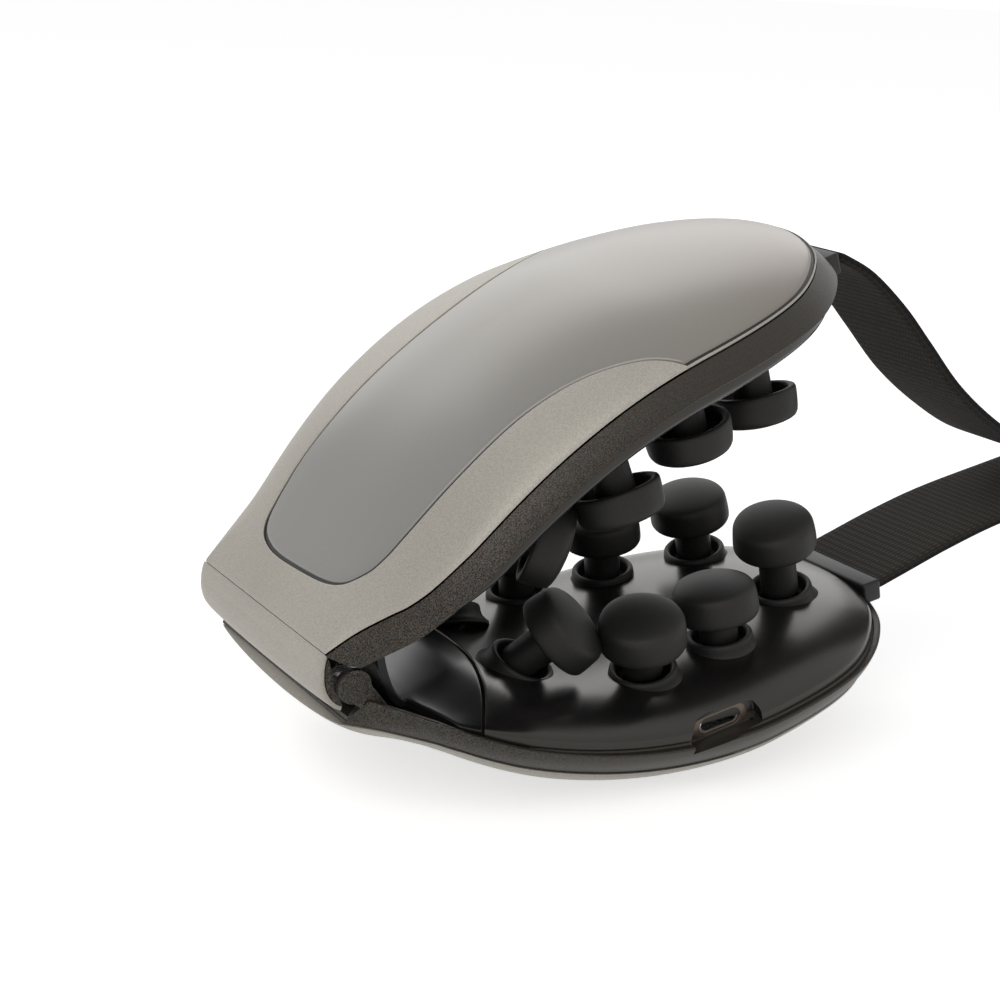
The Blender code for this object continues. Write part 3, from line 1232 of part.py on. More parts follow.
def strap_line():
    ends = [(STRAP_END_X, STRAP_LEVEL), (STRAP_STRAIGHT_X, STRAP_LEVEL)]
    upper = [fold_over((x, 0.0, z)) for x, z in ends]
    start = [(p[0], p[2]) for p in upper]
    middle = [(x * LOBE_REACH, z * LOBE_REACH) for x, z in STRAP_PATH_SHARES]
    return start[:1] + spline(start[1:] + middle + ends[1:], STRAP_STEPS) + ends[:1]


def make_head_strap(lobe):
    line = strap_line()
    left = []
    right = []
    for i, point in enumerate(line):
        before = line[max(0, i - 1)]
        after = line[min(len(line) - 1, i + 1)]
        along = Vector((after[0] - before[0], after[1] - before[1])).normalized()
        offset = Vector((-along.y, along.x)) * STRAP_THICKNESS / 2
        left.append((point[0] + offset.x, point[1] + offset.y))
        right.append((point[0] - offset.x, point[1] - offset.y))
    bm = bmesh.new()
    rows = []
    low = CENTRE_Y - STRAP_WIDTH / 2
    high = CENTRE_Y + STRAP_WIDTH / 2
    for a, b in zip(left, right):
        rows.append([(a[0], low, a[1]), (a[0], high, a[1]), (b[0], high, b[1]), (b[0], low, b[1])])
    verts = [[bm.verts.new(p) for p in row] for row in rows]
    bm.faces.new(verts[0])
    bm.faces.new(verts[-1])
    for first, second in zip(verts, verts[1:]):
        for i in range(4):
            bm.faces.new((first[i], first[(i + 1) % 4], second[(i + 1) % 4], second[i]))
    return finish("head_strap", bm, WEBBING, lobe)


def make_strap_slider(lobe):
    """Flat slider with two windows that holds the two runs of the strap."""
    half = STRAP_THICKNESS / 2 + GAP
    width = STRAP_WIDTH + 2 * GAP
    top = STRAP_UPPER_LEVEL + half + SLIDER_WALL
    bottom = STRAP_LOWER_LEVEL - half - SLIDER_WALL
    bm = bmesh.new()
    add_box(bm, (SLIDER_X, CENTRE_Y, (top + bottom) / 2),
            (SLIDER_LENGTH, width + 2 * SLIDER_WALL, top - bottom))
    slider = finish("strap_slider", bm, PAD_BLACK, lobe, smooth=False)
    bm = bmesh.new()
    for level in (STRAP_UPPER_LEVEL, STRAP_LOWER_LEVEL):
        add_box(bm, (SLIDER_X, CENTRE_Y, level), (2 * SLIDER_LENGTH, width, 2 * half))
    combine(slider, make_cutter("slider_windows", bm, lobe), "DIFFERENCE")
    return slider


def rest_place():
    """Hinge axis place that puts the middle of the small rest flat at the origin."""
    best = None
    for i in range(REST_STEPS + 1):
        for j in range(REST_STEPS + 1):
            x = CENTRE_X + LOBE_REACH * (i / REST_STEPS - 0.5) / 2
            y = CENTRE_Y + LOBE_WIDTH * (j / REST_STEPS - 0.5) / 2
            level = x * math.sin(REST_LEAN) + dome_at(x, y) * math.cos(REST_LEAN)
            if best is None or level < best[0]:
                best = (level, x, y)
    level, x, y = best
    z = (level - x * math.sin(REST_LEAN)) / math.cos(REST_LEAN)
    across = x * math.cos(REST_LEAN) - z * math.sin(REST_LEAN)
    return Vector((-across, -y, -(level + REST_CUT)))


def make_lobe_parts(lobe):
    housing = make_housing(lobe)
    panel = make_front_panel(lobe)
    pad = make_face_pad(lobe)
    make_outer_shell(lobe)
    make_drive_plate(lobe)
    make_worm_wheel(lobe)
    make_worm(lobe)
    make_motor(lobe)
    make_strap_anchor(lobe)
    for number in range(len(HEAD_PLACE_SHARES)):
        make_head(lobe, number)
    return housing, panel, pad


def main():
    clear_scene()
    for finish_of in FINISHES:
        make_material(*finish_of)
    place = rest_place()
    lower = Lobe("lower", REST_LEAN, place, False)
    upper = Lobe("upper", REST_LEAN + FOLD_AT_REST, place, True)
    housing, panel, pad = make_lobe_parts(lower)
    upper_housing = make_lobe_parts(upper)[0]
    cut_rest_flat(panel, lower, 0.0)
    add_hinge_lugs(housing, lower)
    cut_port_recess(housing, pad, lower)
    make_power_button(lower, housing)
    make_hinge_bracket(upper, upper_housing)
    for number in range(2):
        make_bracket_screw(upper, number)
    make_spine_cover(upper)
    make_hinge_pin(lower)
    make_hinge_end_cap(lower, "hinge_end_cap_near", BARREL_NEAR - GAP - LUG_THICKNESS, -1.0)
    make_hinge_end_cap(lower, "hinge_end_cap_far", BARREL_FAR + GAP + LUG_THICKNESS, 1.0)
    make_nose_liner(lower)
    make_usb_port(lower)
    make_usb_tongue(lower)
    make_circuit_board(lower)
    make_battery(lower)
    make_head_strap(lower)
    make_strap_slider(lower)


main()
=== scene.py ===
"""Folding kneading eye massager: the looks of its pieces, laid over the CAD frame.

The pieces are drawn in millimetres in a lobe's own frame: the origin on the hinge axis at its
cheek end, X to the temple, Y along the axis to the forehead, Z to the face. The upper lobe is the
lower one mirrored in Z. A lobe's matrix then puts the mesh in its place, in metres.
"""

import json
import math

import bmesh
import bpy
import numpy as np
from mathutils import Matrix, Vector


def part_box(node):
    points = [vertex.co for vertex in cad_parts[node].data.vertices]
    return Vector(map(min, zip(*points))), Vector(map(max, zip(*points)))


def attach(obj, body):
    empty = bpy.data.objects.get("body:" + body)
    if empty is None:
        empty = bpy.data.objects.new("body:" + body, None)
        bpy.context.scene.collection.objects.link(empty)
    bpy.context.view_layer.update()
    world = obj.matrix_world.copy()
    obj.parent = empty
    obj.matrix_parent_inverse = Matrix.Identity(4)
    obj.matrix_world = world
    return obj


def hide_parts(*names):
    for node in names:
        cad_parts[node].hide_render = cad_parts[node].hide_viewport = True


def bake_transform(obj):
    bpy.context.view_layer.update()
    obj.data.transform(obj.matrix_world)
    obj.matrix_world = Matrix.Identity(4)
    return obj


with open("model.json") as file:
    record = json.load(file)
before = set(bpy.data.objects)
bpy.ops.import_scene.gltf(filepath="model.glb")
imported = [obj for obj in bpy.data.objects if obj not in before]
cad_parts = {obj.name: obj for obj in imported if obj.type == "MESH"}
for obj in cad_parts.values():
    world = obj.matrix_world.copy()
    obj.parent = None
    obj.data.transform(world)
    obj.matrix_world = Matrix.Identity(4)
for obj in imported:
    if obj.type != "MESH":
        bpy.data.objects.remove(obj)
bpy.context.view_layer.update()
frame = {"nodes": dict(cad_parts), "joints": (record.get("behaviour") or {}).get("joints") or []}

JOINTS = {joint["name"]: joint for joint in frame["joints"]}
SIDES = ("lower", "upper")
MM = 0.001
UP = Vector((0, 0, 1))
FOLD = math.radians(7.82)

# Outlines of a lobe, as shares of its reach and width, and its middle
REACH, WIDTH = 122.3, 85.2
CENTRE = np.array((58.0, 27.0))
FACE_EDGE = (
    (0.013, -0.019), (0.041, -0.056), (0.078, -0.106), (0.119, -0.148), (0.168, -0.177),
    (0.229, -0.19), (0.442, -0.2), (0.646, -0.188), (0.814, -0.121), (0.928, 0.018),
    (0.984, 0.176), (1.0, 0.329), (0.98, 0.493), (0.904, 0.646), (0.752, 0.755),
    (0.54, 0.8), (0.311, 0.786), (0.123, 0.732), (0.013, 0.678))
SHELL_EDGE = (
    (-0.021, 0.012), (0.023, -0.016), (0.062, -0.056), (0.106, -0.106), (0.159, -0.14),
    (0.229, -0.157), (0.442, -0.166), (0.638, -0.155), (0.798, -0.093), (0.907, 0.038),
    (0.961, 0.183), (0.976, 0.329), (0.957, 0.481), (0.886, 0.622), (0.744, 0.723),
    (0.54, 0.767), (0.313, 0.752), (0.128, 0.701), (-0.021, 0.653))
PANEL_EDGE = (
    (0.621, -0.235), (0.548, -0.133), (0.505, -0.092), (0.436, -0.052), (0.356, -0.028),
    (0.245, -0.012), (0.15, 0.014), (0.082, 0.054), (0.049, 0.123), (0.039, 0.282),
    (0.041, 0.423), (0.065, 0.5), (0.131, 0.526), (0.245, 0.519), (0.392, 0.509),
    (0.507, 0.528), (0.605, 0.575), (0.687, 0.657), (0.752, 0.822), (1.104, 0.728),
    (1.104, -0.164))
EDGE_STEPS = 24
SPOKES = 540
INWARD = (1.0, 0.9, 0.7, 0.45, 0.2)

# Levels of a lobe: the lip at the temple, its rise to the hinge, the wall, face and dome
LIP_LEVEL, HINGE_RISE, RISE_START, RISE_RUN = -28.4, 21.0, 10.6, 65.0
WALL_HEIGHT, FACE_BULGE, DOME_DEPTH = 4.9, 8.0, 7.84
SHELL_WALL, SHELL_SWELL = 2.0, 2.3

# Seam of pad and liner, a parabola, and where the liner bends; insets of the pad and the panel
SEAM_X, SEAM_BEND, SEAM_WIDTH = 30.0, 12.0, 38.0
BEND_X = 9.5
SEAT_INSET, PANEL_INSET, PANEL_GAP = 1.4, 0.9, 0.62
PAD_THICKNESS = 1.8

# Kneading heads: places of their feet on the ring, and how each cap stands from its foot
HEAD_PLACES = (
    (-1.0, -0.7), (-0.32, -1.0), (0.3, -0.85), (1.0, -0.42),
    (0.97, 0.75), (0.32, 0.9), (-0.3, 0.96), (-0.97, 0.5))
CAP_OFFSETS = (
    (0.64, -0.46, 0.6), (-0.05, -0.2, 0.89), (-0.02, -0.01, 0.8), (-0.17, -0.2, 1.24),
    (-0.1, -0.12, 1.02), (0.0, -0.12, 0.98), (0.06, -0.12, 0.98), (0.44, 0.78, 0.66))
HEADS = len(HEAD_PLACES)
HEAD_RISE = 12.2
HEAD_SEGMENTS = 44

# Strap: its middle line from the upper temple round its loop to the lower temple
STRAP_PATH = (
    (1.038, 0.312), (1.098, 0.24), (1.145, 0.168), (1.206, 0.074), (1.284, -0.012),
    (1.374, -0.086), (1.488, -0.135), (1.64, -0.1423), (1.815, -0.1423), (1.852, -0.164),
    (1.815, -0.1864), (1.64, -0.1864), (1.455, -0.187), (1.284, -0.189), (1.169, -0.199),
    (1.071, -0.213))
STRAP_ENDS = ((120.6, -27.0), (124.6, -27.0))
STRAP_WIDTH, STRAP_THICKNESS = 26.0, 1.8
BAND_LEVELS = (-17.4, -22.8)
SLIDER_X = 207.0

# Places of the hinge barrel, the pin ears, the anchors, the port and the button
BARREL_ENDS = (0.6, 56.4)
BARREL_ROOM = {"lower": 6.6, "upper": 6.2}
EAR_ENDS = (-1.2, 58.2)
PIN_END = 0.9
ANCHOR_PLACE = (120.3, 27.0, -27.0)
PORT_X, PORT_Z = 64.3, -25.9
BUTTON_X, BUTTON_Z = 56.0, -28.1

# Camera solved from the photograph, in the lower lobe's frame
CAMERA_YAW, CAMERA_ELEVATION, CAMERA_ROLL = 0.4681, 0.3727, -0.1361
CAMERA_PLACE = (-109.14, -279.96, 146.59)
CAMERA_LENS, SENSOR_WIDTH = 70.73, 36.0


def lobe_matrix(side, flip):
    """Matrix from a lobe's frame in millimetres to the row frame in metres."""
    hinge = JOINTS["fold_hinge"]["pos_m"]
    along = Vector(JOINTS[side + "_plate_slide"]["axis"]).normalized()
    up = flip * along.cross(Vector((0, 1, 0)))
    place = Vector((hinge[0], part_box("hinge_pin")[0].y + PIN_END * MM, hinge[2]))
    turn = Matrix((along, (0, 1, 0), up)).transposed().to_4x4()
    return Matrix.Translation(place) @ turn @ Matrix.Scale(MM, 4)


LOWER = lobe_matrix("lower", 1)
UPPER = lobe_matrix("upper", -1)
LOBES = {"lower": LOWER, "upper": UPPER}


# Shared curves and levels of a lobe

def spline(points, steps=EDGE_STEPS):
    """An open smooth curve through the points."""
    ends = np.array([points[0], *points, points[-1]], float)
    t = (np.arange(steps) / steps)[:, None]
    curve = []
    for p, q, r, s in zip(ends, ends[1:], ends[2:], ends[3:]):
        curve.append(0.5 * (2 * q + (r - p) * t + (2 * p - 5 * q + 4 * r - s) * t ** 2
                            + (3 * q - p - 3 * r + s) * t ** 3))
    return np.vstack(curve + [ends[-1:]])


def outline_of(shares):
    return spline([(x * REACH, y * WIDTH) for x, y in shares])


def clamp(value):
    return np.clip(value, 0.0, 1.0)


def edge_level(x):
    """Height of the lip: level by the temple, curving up to the hinge."""
    share = clamp((x - RISE_START) / RISE_RUN)
    return LIP_LEVEL + HINGE_RISE * (1.0 - share) ** 2 + 0.5 * np.maximum(0.0, RISE_START - x)


def shell_level(x):
    return edge_level(x) - WALL_HEIGHT * (1.0 + 0.28 * clamp((14.0 - x) / 16.0))


def face_level(x, share):
    """Height of the pad; the share is 0 at the middle and 1 at the face edge."""
    rise = clamp((x - 5.0) / 23.0)
    bulge = np.maximum(0.0, 1.0 - share ** 4.0) ** 0.6
    return edge_level(x) + FACE_BULGE * rise * rise * (3.0 - 2.0 * rise) * bulge


def dome_level(x, share):
    """Height of the outer surface; the share is 0 at the middle and 1 at the shell's rim."""
    return shell_level(x) - DOME_DEPTH * np.maximum(0.0, 1.0 - share ** 2.4) ** 0.67


def reach(outline, angles):
    """Distance from the lobe's middle to a closed outline in each direction."""
    side = np.roll(outline, -1, axis=0) - outline
    back = outline - CENTRE
    across = np.cos(angles)[:, None]
    along = np.sin(angles)[:, None]
    cross = across * side[:, 1] - along * side[:, 0]
    cross = np.where(np.abs(cross) < 1e-12, 1e-12, cross)
    share = (back[:, 0] * along - back[:, 1] * across) / cross
    distance = (back[:, 0] * side[:, 1] - back[:, 1] * side[:, 0]) / cross
    missed = (share < -1e-6) | (share > 1.000001) | (distance <= 0.0)
    return np.where(missed, np.inf, distance).min(axis=1)


def angle_of(points):
    points = np.atleast_2d(points) - CENTRE
    return np.arctan2(points[:, 1], points[:, 0])


FACE = outline_of(FACE_EDGE)
SHELL = outline_of(SHELL_EDGE)
PANEL = outline_of(PANEL_EDGE)


def seam_reach(angles):
    """Distance to the seam between pad and liner, far where a direction doesn't meet it."""
    across, along = np.cos(angles), np.sin(angles)
    gap = CENTRE[0] - SEAM_X
    under = across ** 2 - 4.0 * gap * (SEAM_BEND * along ** 2 / SEAM_WIDTH ** 2)
    root = np.sqrt(np.maximum(under, 0.0))
    meets = (across < 0.0) & (under > 0.0)
    return np.where(meets, 2.0 * gap / np.maximum(root - across, 1e-9), np.inf)


def panel_reach(angles, gap=0.0):
    """Distance to the front panel's outline, or to one that lies a gap outside it."""
    side = np.gradient(PANEL, axis=0)
    outward = np.stack((side[:, 1], -side[:, 0]), axis=1)
    outward /= np.maximum(np.linalg.norm(outward, axis=1, keepdims=True), 1e-9)
    taper = 1.0 - 0.55 * clamp((PANEL[:, :1] - 18.0) / 40.0)
    wide = PANEL - outward * gap * taper
    return np.minimum(reach(SHELL, angles) - PANEL_INSET + gap, reach(wide, angles))


def pad_reach(angles):
    return np.minimum(reach(FACE, angles) - SEAT_INSET, seam_reach(angles)) - 0.3


def soften_reach(outline, count=720, half=60):
    """Reach on the spokes, averaged over about twenty degrees round each."""
    even = np.linspace(-math.pi, math.pi, count, endpoint=False)
    far = reach(outline, even)
    weights = np.exp(-0.5 * (np.arange(-half, half + 1) / 18.0) ** 2)
    padded = np.concatenate((far[-half:], far, far[:half]))
    soft = np.convolve(padded, weights / weights.sum(), "valid")
    return np.interp(ANGLES, np.append(even, math.pi), np.append(soft, soft[0]))


def make_spokes():
    """Directions all round a lobe, with the crisp corners of its outlines among them."""
    fine = np.linspace(-math.pi, math.pi, 14400, endpoint=False)
    corners = list(angle_of((FACE[0], FACE[-1], SHELL[0], SHELL[-1])))
    for first, second in ((reach(SHELL, fine) - PANEL_INSET, reach(PANEL, fine)),
                          (reach(FACE, fine) - SEAT_INSET, seam_reach(fine))):
        met = first < second
        corners += list(fine[met != np.roll(met, 1)])
    corners = np.array(corners)
    even = np.linspace(-math.pi, math.pi, SPOKES, endpoint=False)
    apart = np.abs(np.angle(np.exp(1j * (even[:, None] - corners)))).min(axis=1)
    near = np.concatenate([corners + turn for turn in (-0.004, 0.004)])
    return np.sort(np.concatenate((even[apart > 0.009], corners, near)))


ANGLES = make_spokes()
AHEAD = np.stack((np.cos(ANGLES), np.sin(ANGLES)), axis=1)
FACE_REACH = reach(FACE, ANGLES)
SHELL_REACH = reach(SHELL, ANGLES)
SOFT_REACH = soften_reach(SHELL)
PANEL_REACH = panel_reach(ANGLES)
RECESS_REACH = panel_reach(ANGLES, PANEL_GAP)
PAD_REACH = pad_reach(ANGLES)


def dish(distances, level):
    """A ring of a dished piece on the spokes; level is called with x and the distances."""
    places = CENTRE + AHEAD * np.reshape(distances, (-1, 1))
    return np.column_stack((places, level(places[:, 0], distances)))


def middle_ring(height):
    """A ring of one point in the lobe's middle."""
    return np.array([(*CENTRE, height)])


def dome_reach(distances):
    """The shell's reach, with its corners by the hinge eased away toward the middle."""
    share = clamp(distances / SHELL_REACH) ** 6
    return SOFT_REACH + (SHELL_REACH - SOFT_REACH) * share


def dome_at(x, distances):
    return dome_level(x, distances / dome_reach(distances))


def on_dome(offset):
    return lambda x, distances: dome_at(x, distances) + offset


def on_face(offset):
    return lambda x, distances: face_level(x, distances / FACE_REACH) + offset


def face_at(x, y):
    share = math.hypot(x - CENTRE[0], y - CENTRE[1]) / reach(FACE, angle_of((x, y)))[0]
    return float(face_level(np.float64(x), share))


def fold_over(points):
    """The same places on the folded upper lobe, in the lower lobe's frame."""
    x, y, z = np.asarray(points, float).T
    cosine, sine = math.cos(FOLD), math.sin(FOLD)
    return np.column_stack((x * cosine + z * sine, y, x * sine - z * cosine))


# Making and finishing pieces

def add_object(name, data):
    thing = bpy.data.objects.new(name, data)
    bpy.context.collection.objects.link(thing)
    return thing


def add_piece(name, points, faces, matrix, edges=()):
    bpy.ops.object.select_all(action="DESELECT")
    mesh = bpy.data.meshes.new(name)
    mesh.from_pydata([matrix @ Vector(p) for p in points], edges, faces)
    return add_object(name, mesh)


def skin(name, rings, matrix, closed=False, caps=False):
    """Skin a body over rings of points; a ring of one point, or a cap, closes an end."""
    starts = np.cumsum([0] + [len(ring) for ring in rings])
    faces = [list(range(starts[i - 1], starts[i])) for i in (1, -1)] if caps else []
    for first in range(len(rings) if closed else len(rings) - 1):
        second = (first + 1) % len(rings)
        low, high = len(rings[first]), len(rings[second])
        for i in range(max(low, high)):
            corners = (starts[first] + i % low, starts[first] + (i + 1) % low,
                       starts[second] + (i + 1) % high, starts[second] + i % high)
            faces.append([int(c) for c in dict.fromkeys(corners)])
    return add_piece(name, np.vstack(rings), faces, matrix)


def tidy_mesh(piece, crease=34):
    """Merge doubles, turn the faces outward and smooth all but the crisp edges."""
    sharp = math.radians(crease)
    bm = bmesh.new()
    bm.from_mesh(piece.data)
    bmesh.ops.remove_doubles(bm, verts=bm.verts, dist=0.000002)
    bmesh.ops.recalc_face_normals(bm, faces=bm.faces)
    bm.normal_update()
    for face in bm.faces:
        face.smooth = True
    for edge in bm.edges:
        edge.smooth = edge.calc_face_angle(0.0) < sharp
    bm.to_mesh(piece.data)
    bm.free()
    return piece


def apply_modifier(piece, kind, **settings):
    modifier = piece.modifiers.new(kind.lower(), kind)
    for key, value in settings.items():
        setattr(modifier, key, value)
    bpy.context.view_layer.objects.active = piece
    bpy.ops.object.modifier_apply(modifier=modifier.name)
    return piece


def cut(piece, cutters, operation="DIFFERENCE"):
    """Cut pieces away, or join them on, and drop the cutters."""
    for cutter in cutters:
        tidy_mesh(cutter)
        apply_modifier(piece, "BOOLEAN", operation=operation, object=cutter, solver="EXACT")
        bpy.data.objects.remove(cutter, do_unlink=True)
    return piece


def bevel(piece, width, segments=3, angle=40):
    tidy_mesh(piece)
    return apply_modifier(piece, "BEVEL", width=width * MM, segments=segments,
                          limit_method="ANGLE", angle_limit=math.radians(angle))


def dress(piece, finish, body, *nodes, slot=None, crease=34):
    """Smooth a piece and give it its finish, body and the CAD nodes that it replaces; the slot
    argument is not used.
    """
    tidy_mesh(piece, crease)
    piece.data.materials.append(FINISHES[finish])
    if body:
        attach(piece, body)
    if nodes:
        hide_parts(*nodes)


def block(name, centre, size, matrix):
    """A box from a cube primitive, sized and moved in edit mode."""
    bpy.ops.mesh.primitive_cube_add(size=1.0)
    piece = bpy.context.object
    piece.name = name
    bpy.ops.object.mode_set(mode="EDIT")
    bpy.ops.mesh.select_all(action="SELECT")
    bpy.ops.transform.resize(value=size)
    bpy.ops.transform.translate(value=centre)
    bpy.ops.object.mode_set(mode="OBJECT")
    piece.data.transform(matrix)
    return piece


def turned(name, profile, matrix, steps=48):
    """A closed profile of (radius, height) spun round Z."""
    count = len(profile)
    edges = [(i, (i + 1) % count) for i in range(count)]
    piece = add_piece(name, [(r, 0, z) for r, z in profile], [], Matrix(), edges)
    bpy.context.view_layer.objects.active = piece
    piece.select_set(True)
    bpy.ops.object.mode_set(mode="EDIT")
    bpy.ops.mesh.select_all(action="SELECT")
    bpy.ops.mesh.spin(steps=steps, angle=math.tau, center=(0, 0, 0), axis=(0, 0, 1))
    bpy.ops.mesh.select_all(action="SELECT")
    bpy.ops.mesh.remove_doubles(threshold=0.0001)
    bpy.ops.object.mode_set(mode="OBJECT")
    piece.data.transform(matrix)
    return piece


def prism(name, outline, start, end, matrix):
    """An outline of (x, z) points drawn out along Y."""
    rings = [[(x, y, z) for x, z in outline] for y in (start, end)]
    return skin(name, rings, matrix, caps=True)


def rod(name, radius, start, end, matrix, segments=64):
    """A round cutter along Y."""
    turns = np.arange(segments) * math.tau / segments
    outline = list(zip(radius * np.cos(turns), radius * np.sin(turns)))
    return prism(name, outline, start, end, matrix)


def stadium(length, height, x, z, steps=12):
    """Outline of a bar with round ends, about (x, z)."""
    radius = height / 2
    turns = math.pi * (np.arange(steps + 1) / steps - 0.5)
    outline = []
    for side in (1.0, -1.0):
        for turn in turns:
            outline.append((x + side * (length / 2 - radius + radius * math.cos(turn)),
                            z + side * radius * math.sin(turn)))
    return outline


def port_bar(length, height):
    return stadium(length, height, PORT_X, PORT_Z)


def button_bar(length, height):
    return stadium(length, height, BUTTON_X, BUTTON_Z)


def aim(place, direction):
    """Frame at a place whose Z axis points in a direction, without twist."""
    turn = UP.rotation_difference(Vector(direction)).to_matrix().to_4x4()
    return Matrix.Translation(Vector(place)) @ turn


def circle(radius, height, matrix, segments=HEAD_SEGMENTS):
    turns = np.arange(segments) * math.tau / segments
    points = [matrix @ Vector((radius * math.cos(t), radius * math.sin(t), height)) for t in turns]
    return np.array(points)


# Finishes

FINISHES = {}


def start_finish(name, metallic=0.0, **sockets):
    """Start a finish with its constants set, and return its node tree and shader."""
    material = bpy.data.materials.new(name)
    material.use_nodes = True
    FINISHES[name] = material
    shader = material.node_tree.nodes["Principled BSDF"]
    shader.inputs["Metallic"].default_value = metallic
    for key, value in sockets.items():
        shader.inputs[key.replace("_", " ")].default_value = value
    return material.node_tree, shader


def add_node(tree, kind, inputs=None, **settings):
    node = tree.nodes.new(kind)
    for key, value in settings.items():
        setattr(node, key, value)
    for key, value in (inputs or {}).items():
        if isinstance(value, bpy.types.NodeSocket):
            tree.links.new(value, node.inputs[key])
        else:
            node.inputs[key].default_value = value
    return node


def calculate(tree, operation, first, second):
    node = add_node(tree, "ShaderNodeMath", {0: first, 1: second}, operation=operation)
    return node.outputs[0]


def object_place(tree):
    return add_node(tree, "ShaderNodeTexCoord").outputs["Object"]


def along_x(tree):
    return add_node(tree, "ShaderNodeSeparateXYZ", {"Vector": object_place(tree)}).outputs["X"]


def noise(tree, scale, detail=2.0, source=None):
    """Noise in object space, as a socket from 0 to 1."""
    inputs = {"Vector": source or object_place(tree), "Scale": scale, "Detail": detail}
    return add_node(tree, "ShaderNodeTexNoise", inputs).outputs["Fac"]


def spread(tree, value, low, high, start=0.0, end=1.0):
    """Remap a value and clamp it."""
    inputs = {"Value": value, "From Min": low, "From Max": high, "To Min": start, "To Max": end}
    return add_node(tree, "ShaderNodeMapRange", inputs).outputs["Result"]


def ramp(tree, value, colors):
    """Colours set along a value: pairs of place and linear colour."""
    node = add_node(tree, "ShaderNodeValToRGB", {"Fac": value})
    stops = node.color_ramp.elements
    while len(stops) < len(colors):
        stops.new(0.5)
    for stop, (place, color) in zip(stops, colors):
        stop.position = place
        stop.color = (*color, 1.0)
    return node.outputs["Color"]


def shaded(tree, color, shade):
    inputs = {0: color, 1: shade}
    return add_node(tree, "ShaderNodeVectorMath", inputs, operation="MULTIPLY").outputs[0]


def multiply(tree, color, value, low, high):
    """Darken a colour by a value that runs from low to high."""
    return shaded(tree, color, spread(tree, value, 0.0, 1.0, low, high))


def add_bump(tree, shader, height, strength, distance):
    inputs = {"Height": height, "Strength": strength, "Distance": distance}
    bump = add_node(tree, "ShaderNodeBump", inputs)
    tree.links.new(bump.outputs["Normal"], shader.inputs["Normal"])


def join(tree, socket, shader, name):
    tree.links.new(socket, shader.inputs[name])


def roughen(tree, shader, value, low, high):
    """Roughness that follows a noise from low to high."""
    join(tree, spread(tree, value, 0.3, 0.7, low, high), shader, "Roughness")


def moulded(name, dark, light, metallic, rough, grain, depth, speckle, specular=0.5, **sockets):
    """Painted or moulded surface: soft clouds between two colours, a fine grain and its bump."""
    tree, shader = start_finish(name, metallic, Specular_IOR_Level=specular, **sockets)
    clouds = noise(tree, 26.0, 3.0)
    specks = noise(tree, grain, 2.0)
    color = ramp(tree, clouds, ((0.3, dark), (0.7, light)))
    grained = spread(tree, specks, 0.35, 0.65)
    color = multiply(tree, color, grained, 1.0 - speckle, 1.0 + speckle)
    join(tree, color, shader, "Base Color")
    roughen(tree, shader, clouds, rough - 0.03, rough + 0.03)
    add_bump(tree, shader, specks, 0.35, depth)


def make_shaded_champagne_paint():
    """Satin champagne paint darkened to deep brown as painted shade, with metal flakes that show
    most by the hinge.
    """
    tree, shader = start_finish("dark_bronze", 0.4, Specular_IOR_Level=0.35)
    near = spread(tree, along_x(tree), -0.045, 0.0, 0.95, 0.16)
    flakes = spread(tree, noise(tree, 5200.0, 1.5), 0.38, 0.68, -1.0, 1.6)
    shade = calculate(tree, "ADD", calculate(tree, "MULTIPLY", flakes, near), 1.0)
    # Painted shade: the champagne shell's colour darkened about tenfold, for walls that face away
    # from the light
    tint = ramp(tree, noise(tree, 2600.0, 0.0),
                ((0.35, (0.044, 0.03, 0.021)), (0.5, (0.041, 0.035, 0.027)),
                 (0.65, (0.032, 0.034, 0.031))))
    join(tree, shaded(tree, tint, shade), shader, "Base Color")
    roughen(tree, shader, noise(tree, 30.0), 0.34, 0.42)
    add_bump(tree, shader, flakes, 0.25, 0.00002)


def make_smoky_panel():
    """Smoky satin panel: bluish grey by the nose, pinkish taupe by the temple."""
    tree, shader = start_finish("smoky_panel", 0.35, Specular_IOR_Level=0.4)
    drift = noise(tree, 9.0, 2.0)
    along = calculate(tree, "ADD", along_x(tree), spread(tree, drift, 0.3, 0.7, -0.012, 0.012))
    color = ramp(tree, spread(tree, along, -0.06, 0.045),
                 ((0.0, (0.272, 0.266, 0.252)), (0.55, (0.258, 0.238, 0.211)),
                  (1.0, (0.236, 0.202, 0.176))))
    grain = noise(tree, 5200.0, 1.0)
    join(tree, multiply(tree, color, grain, 0.95, 1.05), shader, "Base Color")
    roughen(tree, shader, drift, 0.27, 0.33)
    add_bump(tree, shader, grain, 0.12, 0.00001)


def make_elastic():
    """Woven elastic: ribs across the band, threads along it, on its own UV map in metres."""
    tree, shader = start_finish("dark_elastic", 0.0, Roughness=0.85, Specular_IOR_Level=0.2)
    place = add_node(tree, "ShaderNodeUVMap", uv_map="flat").outputs["UV"]
    across = {"Vector": place, "Scale": 190.0, "Distortion": 0.6, "Detail": 1.0, "Detail Scale": 3.0}
    along = {"Vector": place, "Scale": 320.0, "Distortion": 0.4}
    ribs = add_node(tree, "ShaderNodeTexWave", across, bands_direction="X").outputs["Fac"]
    threads = add_node(tree, "ShaderNodeTexWave", along, bands_direction="Y").outputs["Fac"]
    weave = calculate(tree, "MULTIPLY", ribs, threads)
    face = add_node(tree, "ShaderNodeAttribute", attribute_name="inner_face").outputs["Fac"]
    outer = ramp(tree, weave, ((0.0, (0.003, 0.003, 0.003)), (1.0, (0.012, 0.012, 0.012))))
    inner = ramp(tree, weave, ((0.0, (0.03, 0.026, 0.022)), (1.0, (0.07, 0.062, 0.054))))
    inputs = {"Factor": face, "A": outer, "B": inner}
    mixed = add_node(tree, "ShaderNodeMix", inputs, data_type="RGBA")
    join(tree, mixed.outputs["Result"], shader, "Base Color")
    add_bump(tree, shader, weave, 0.8, 0.00012)


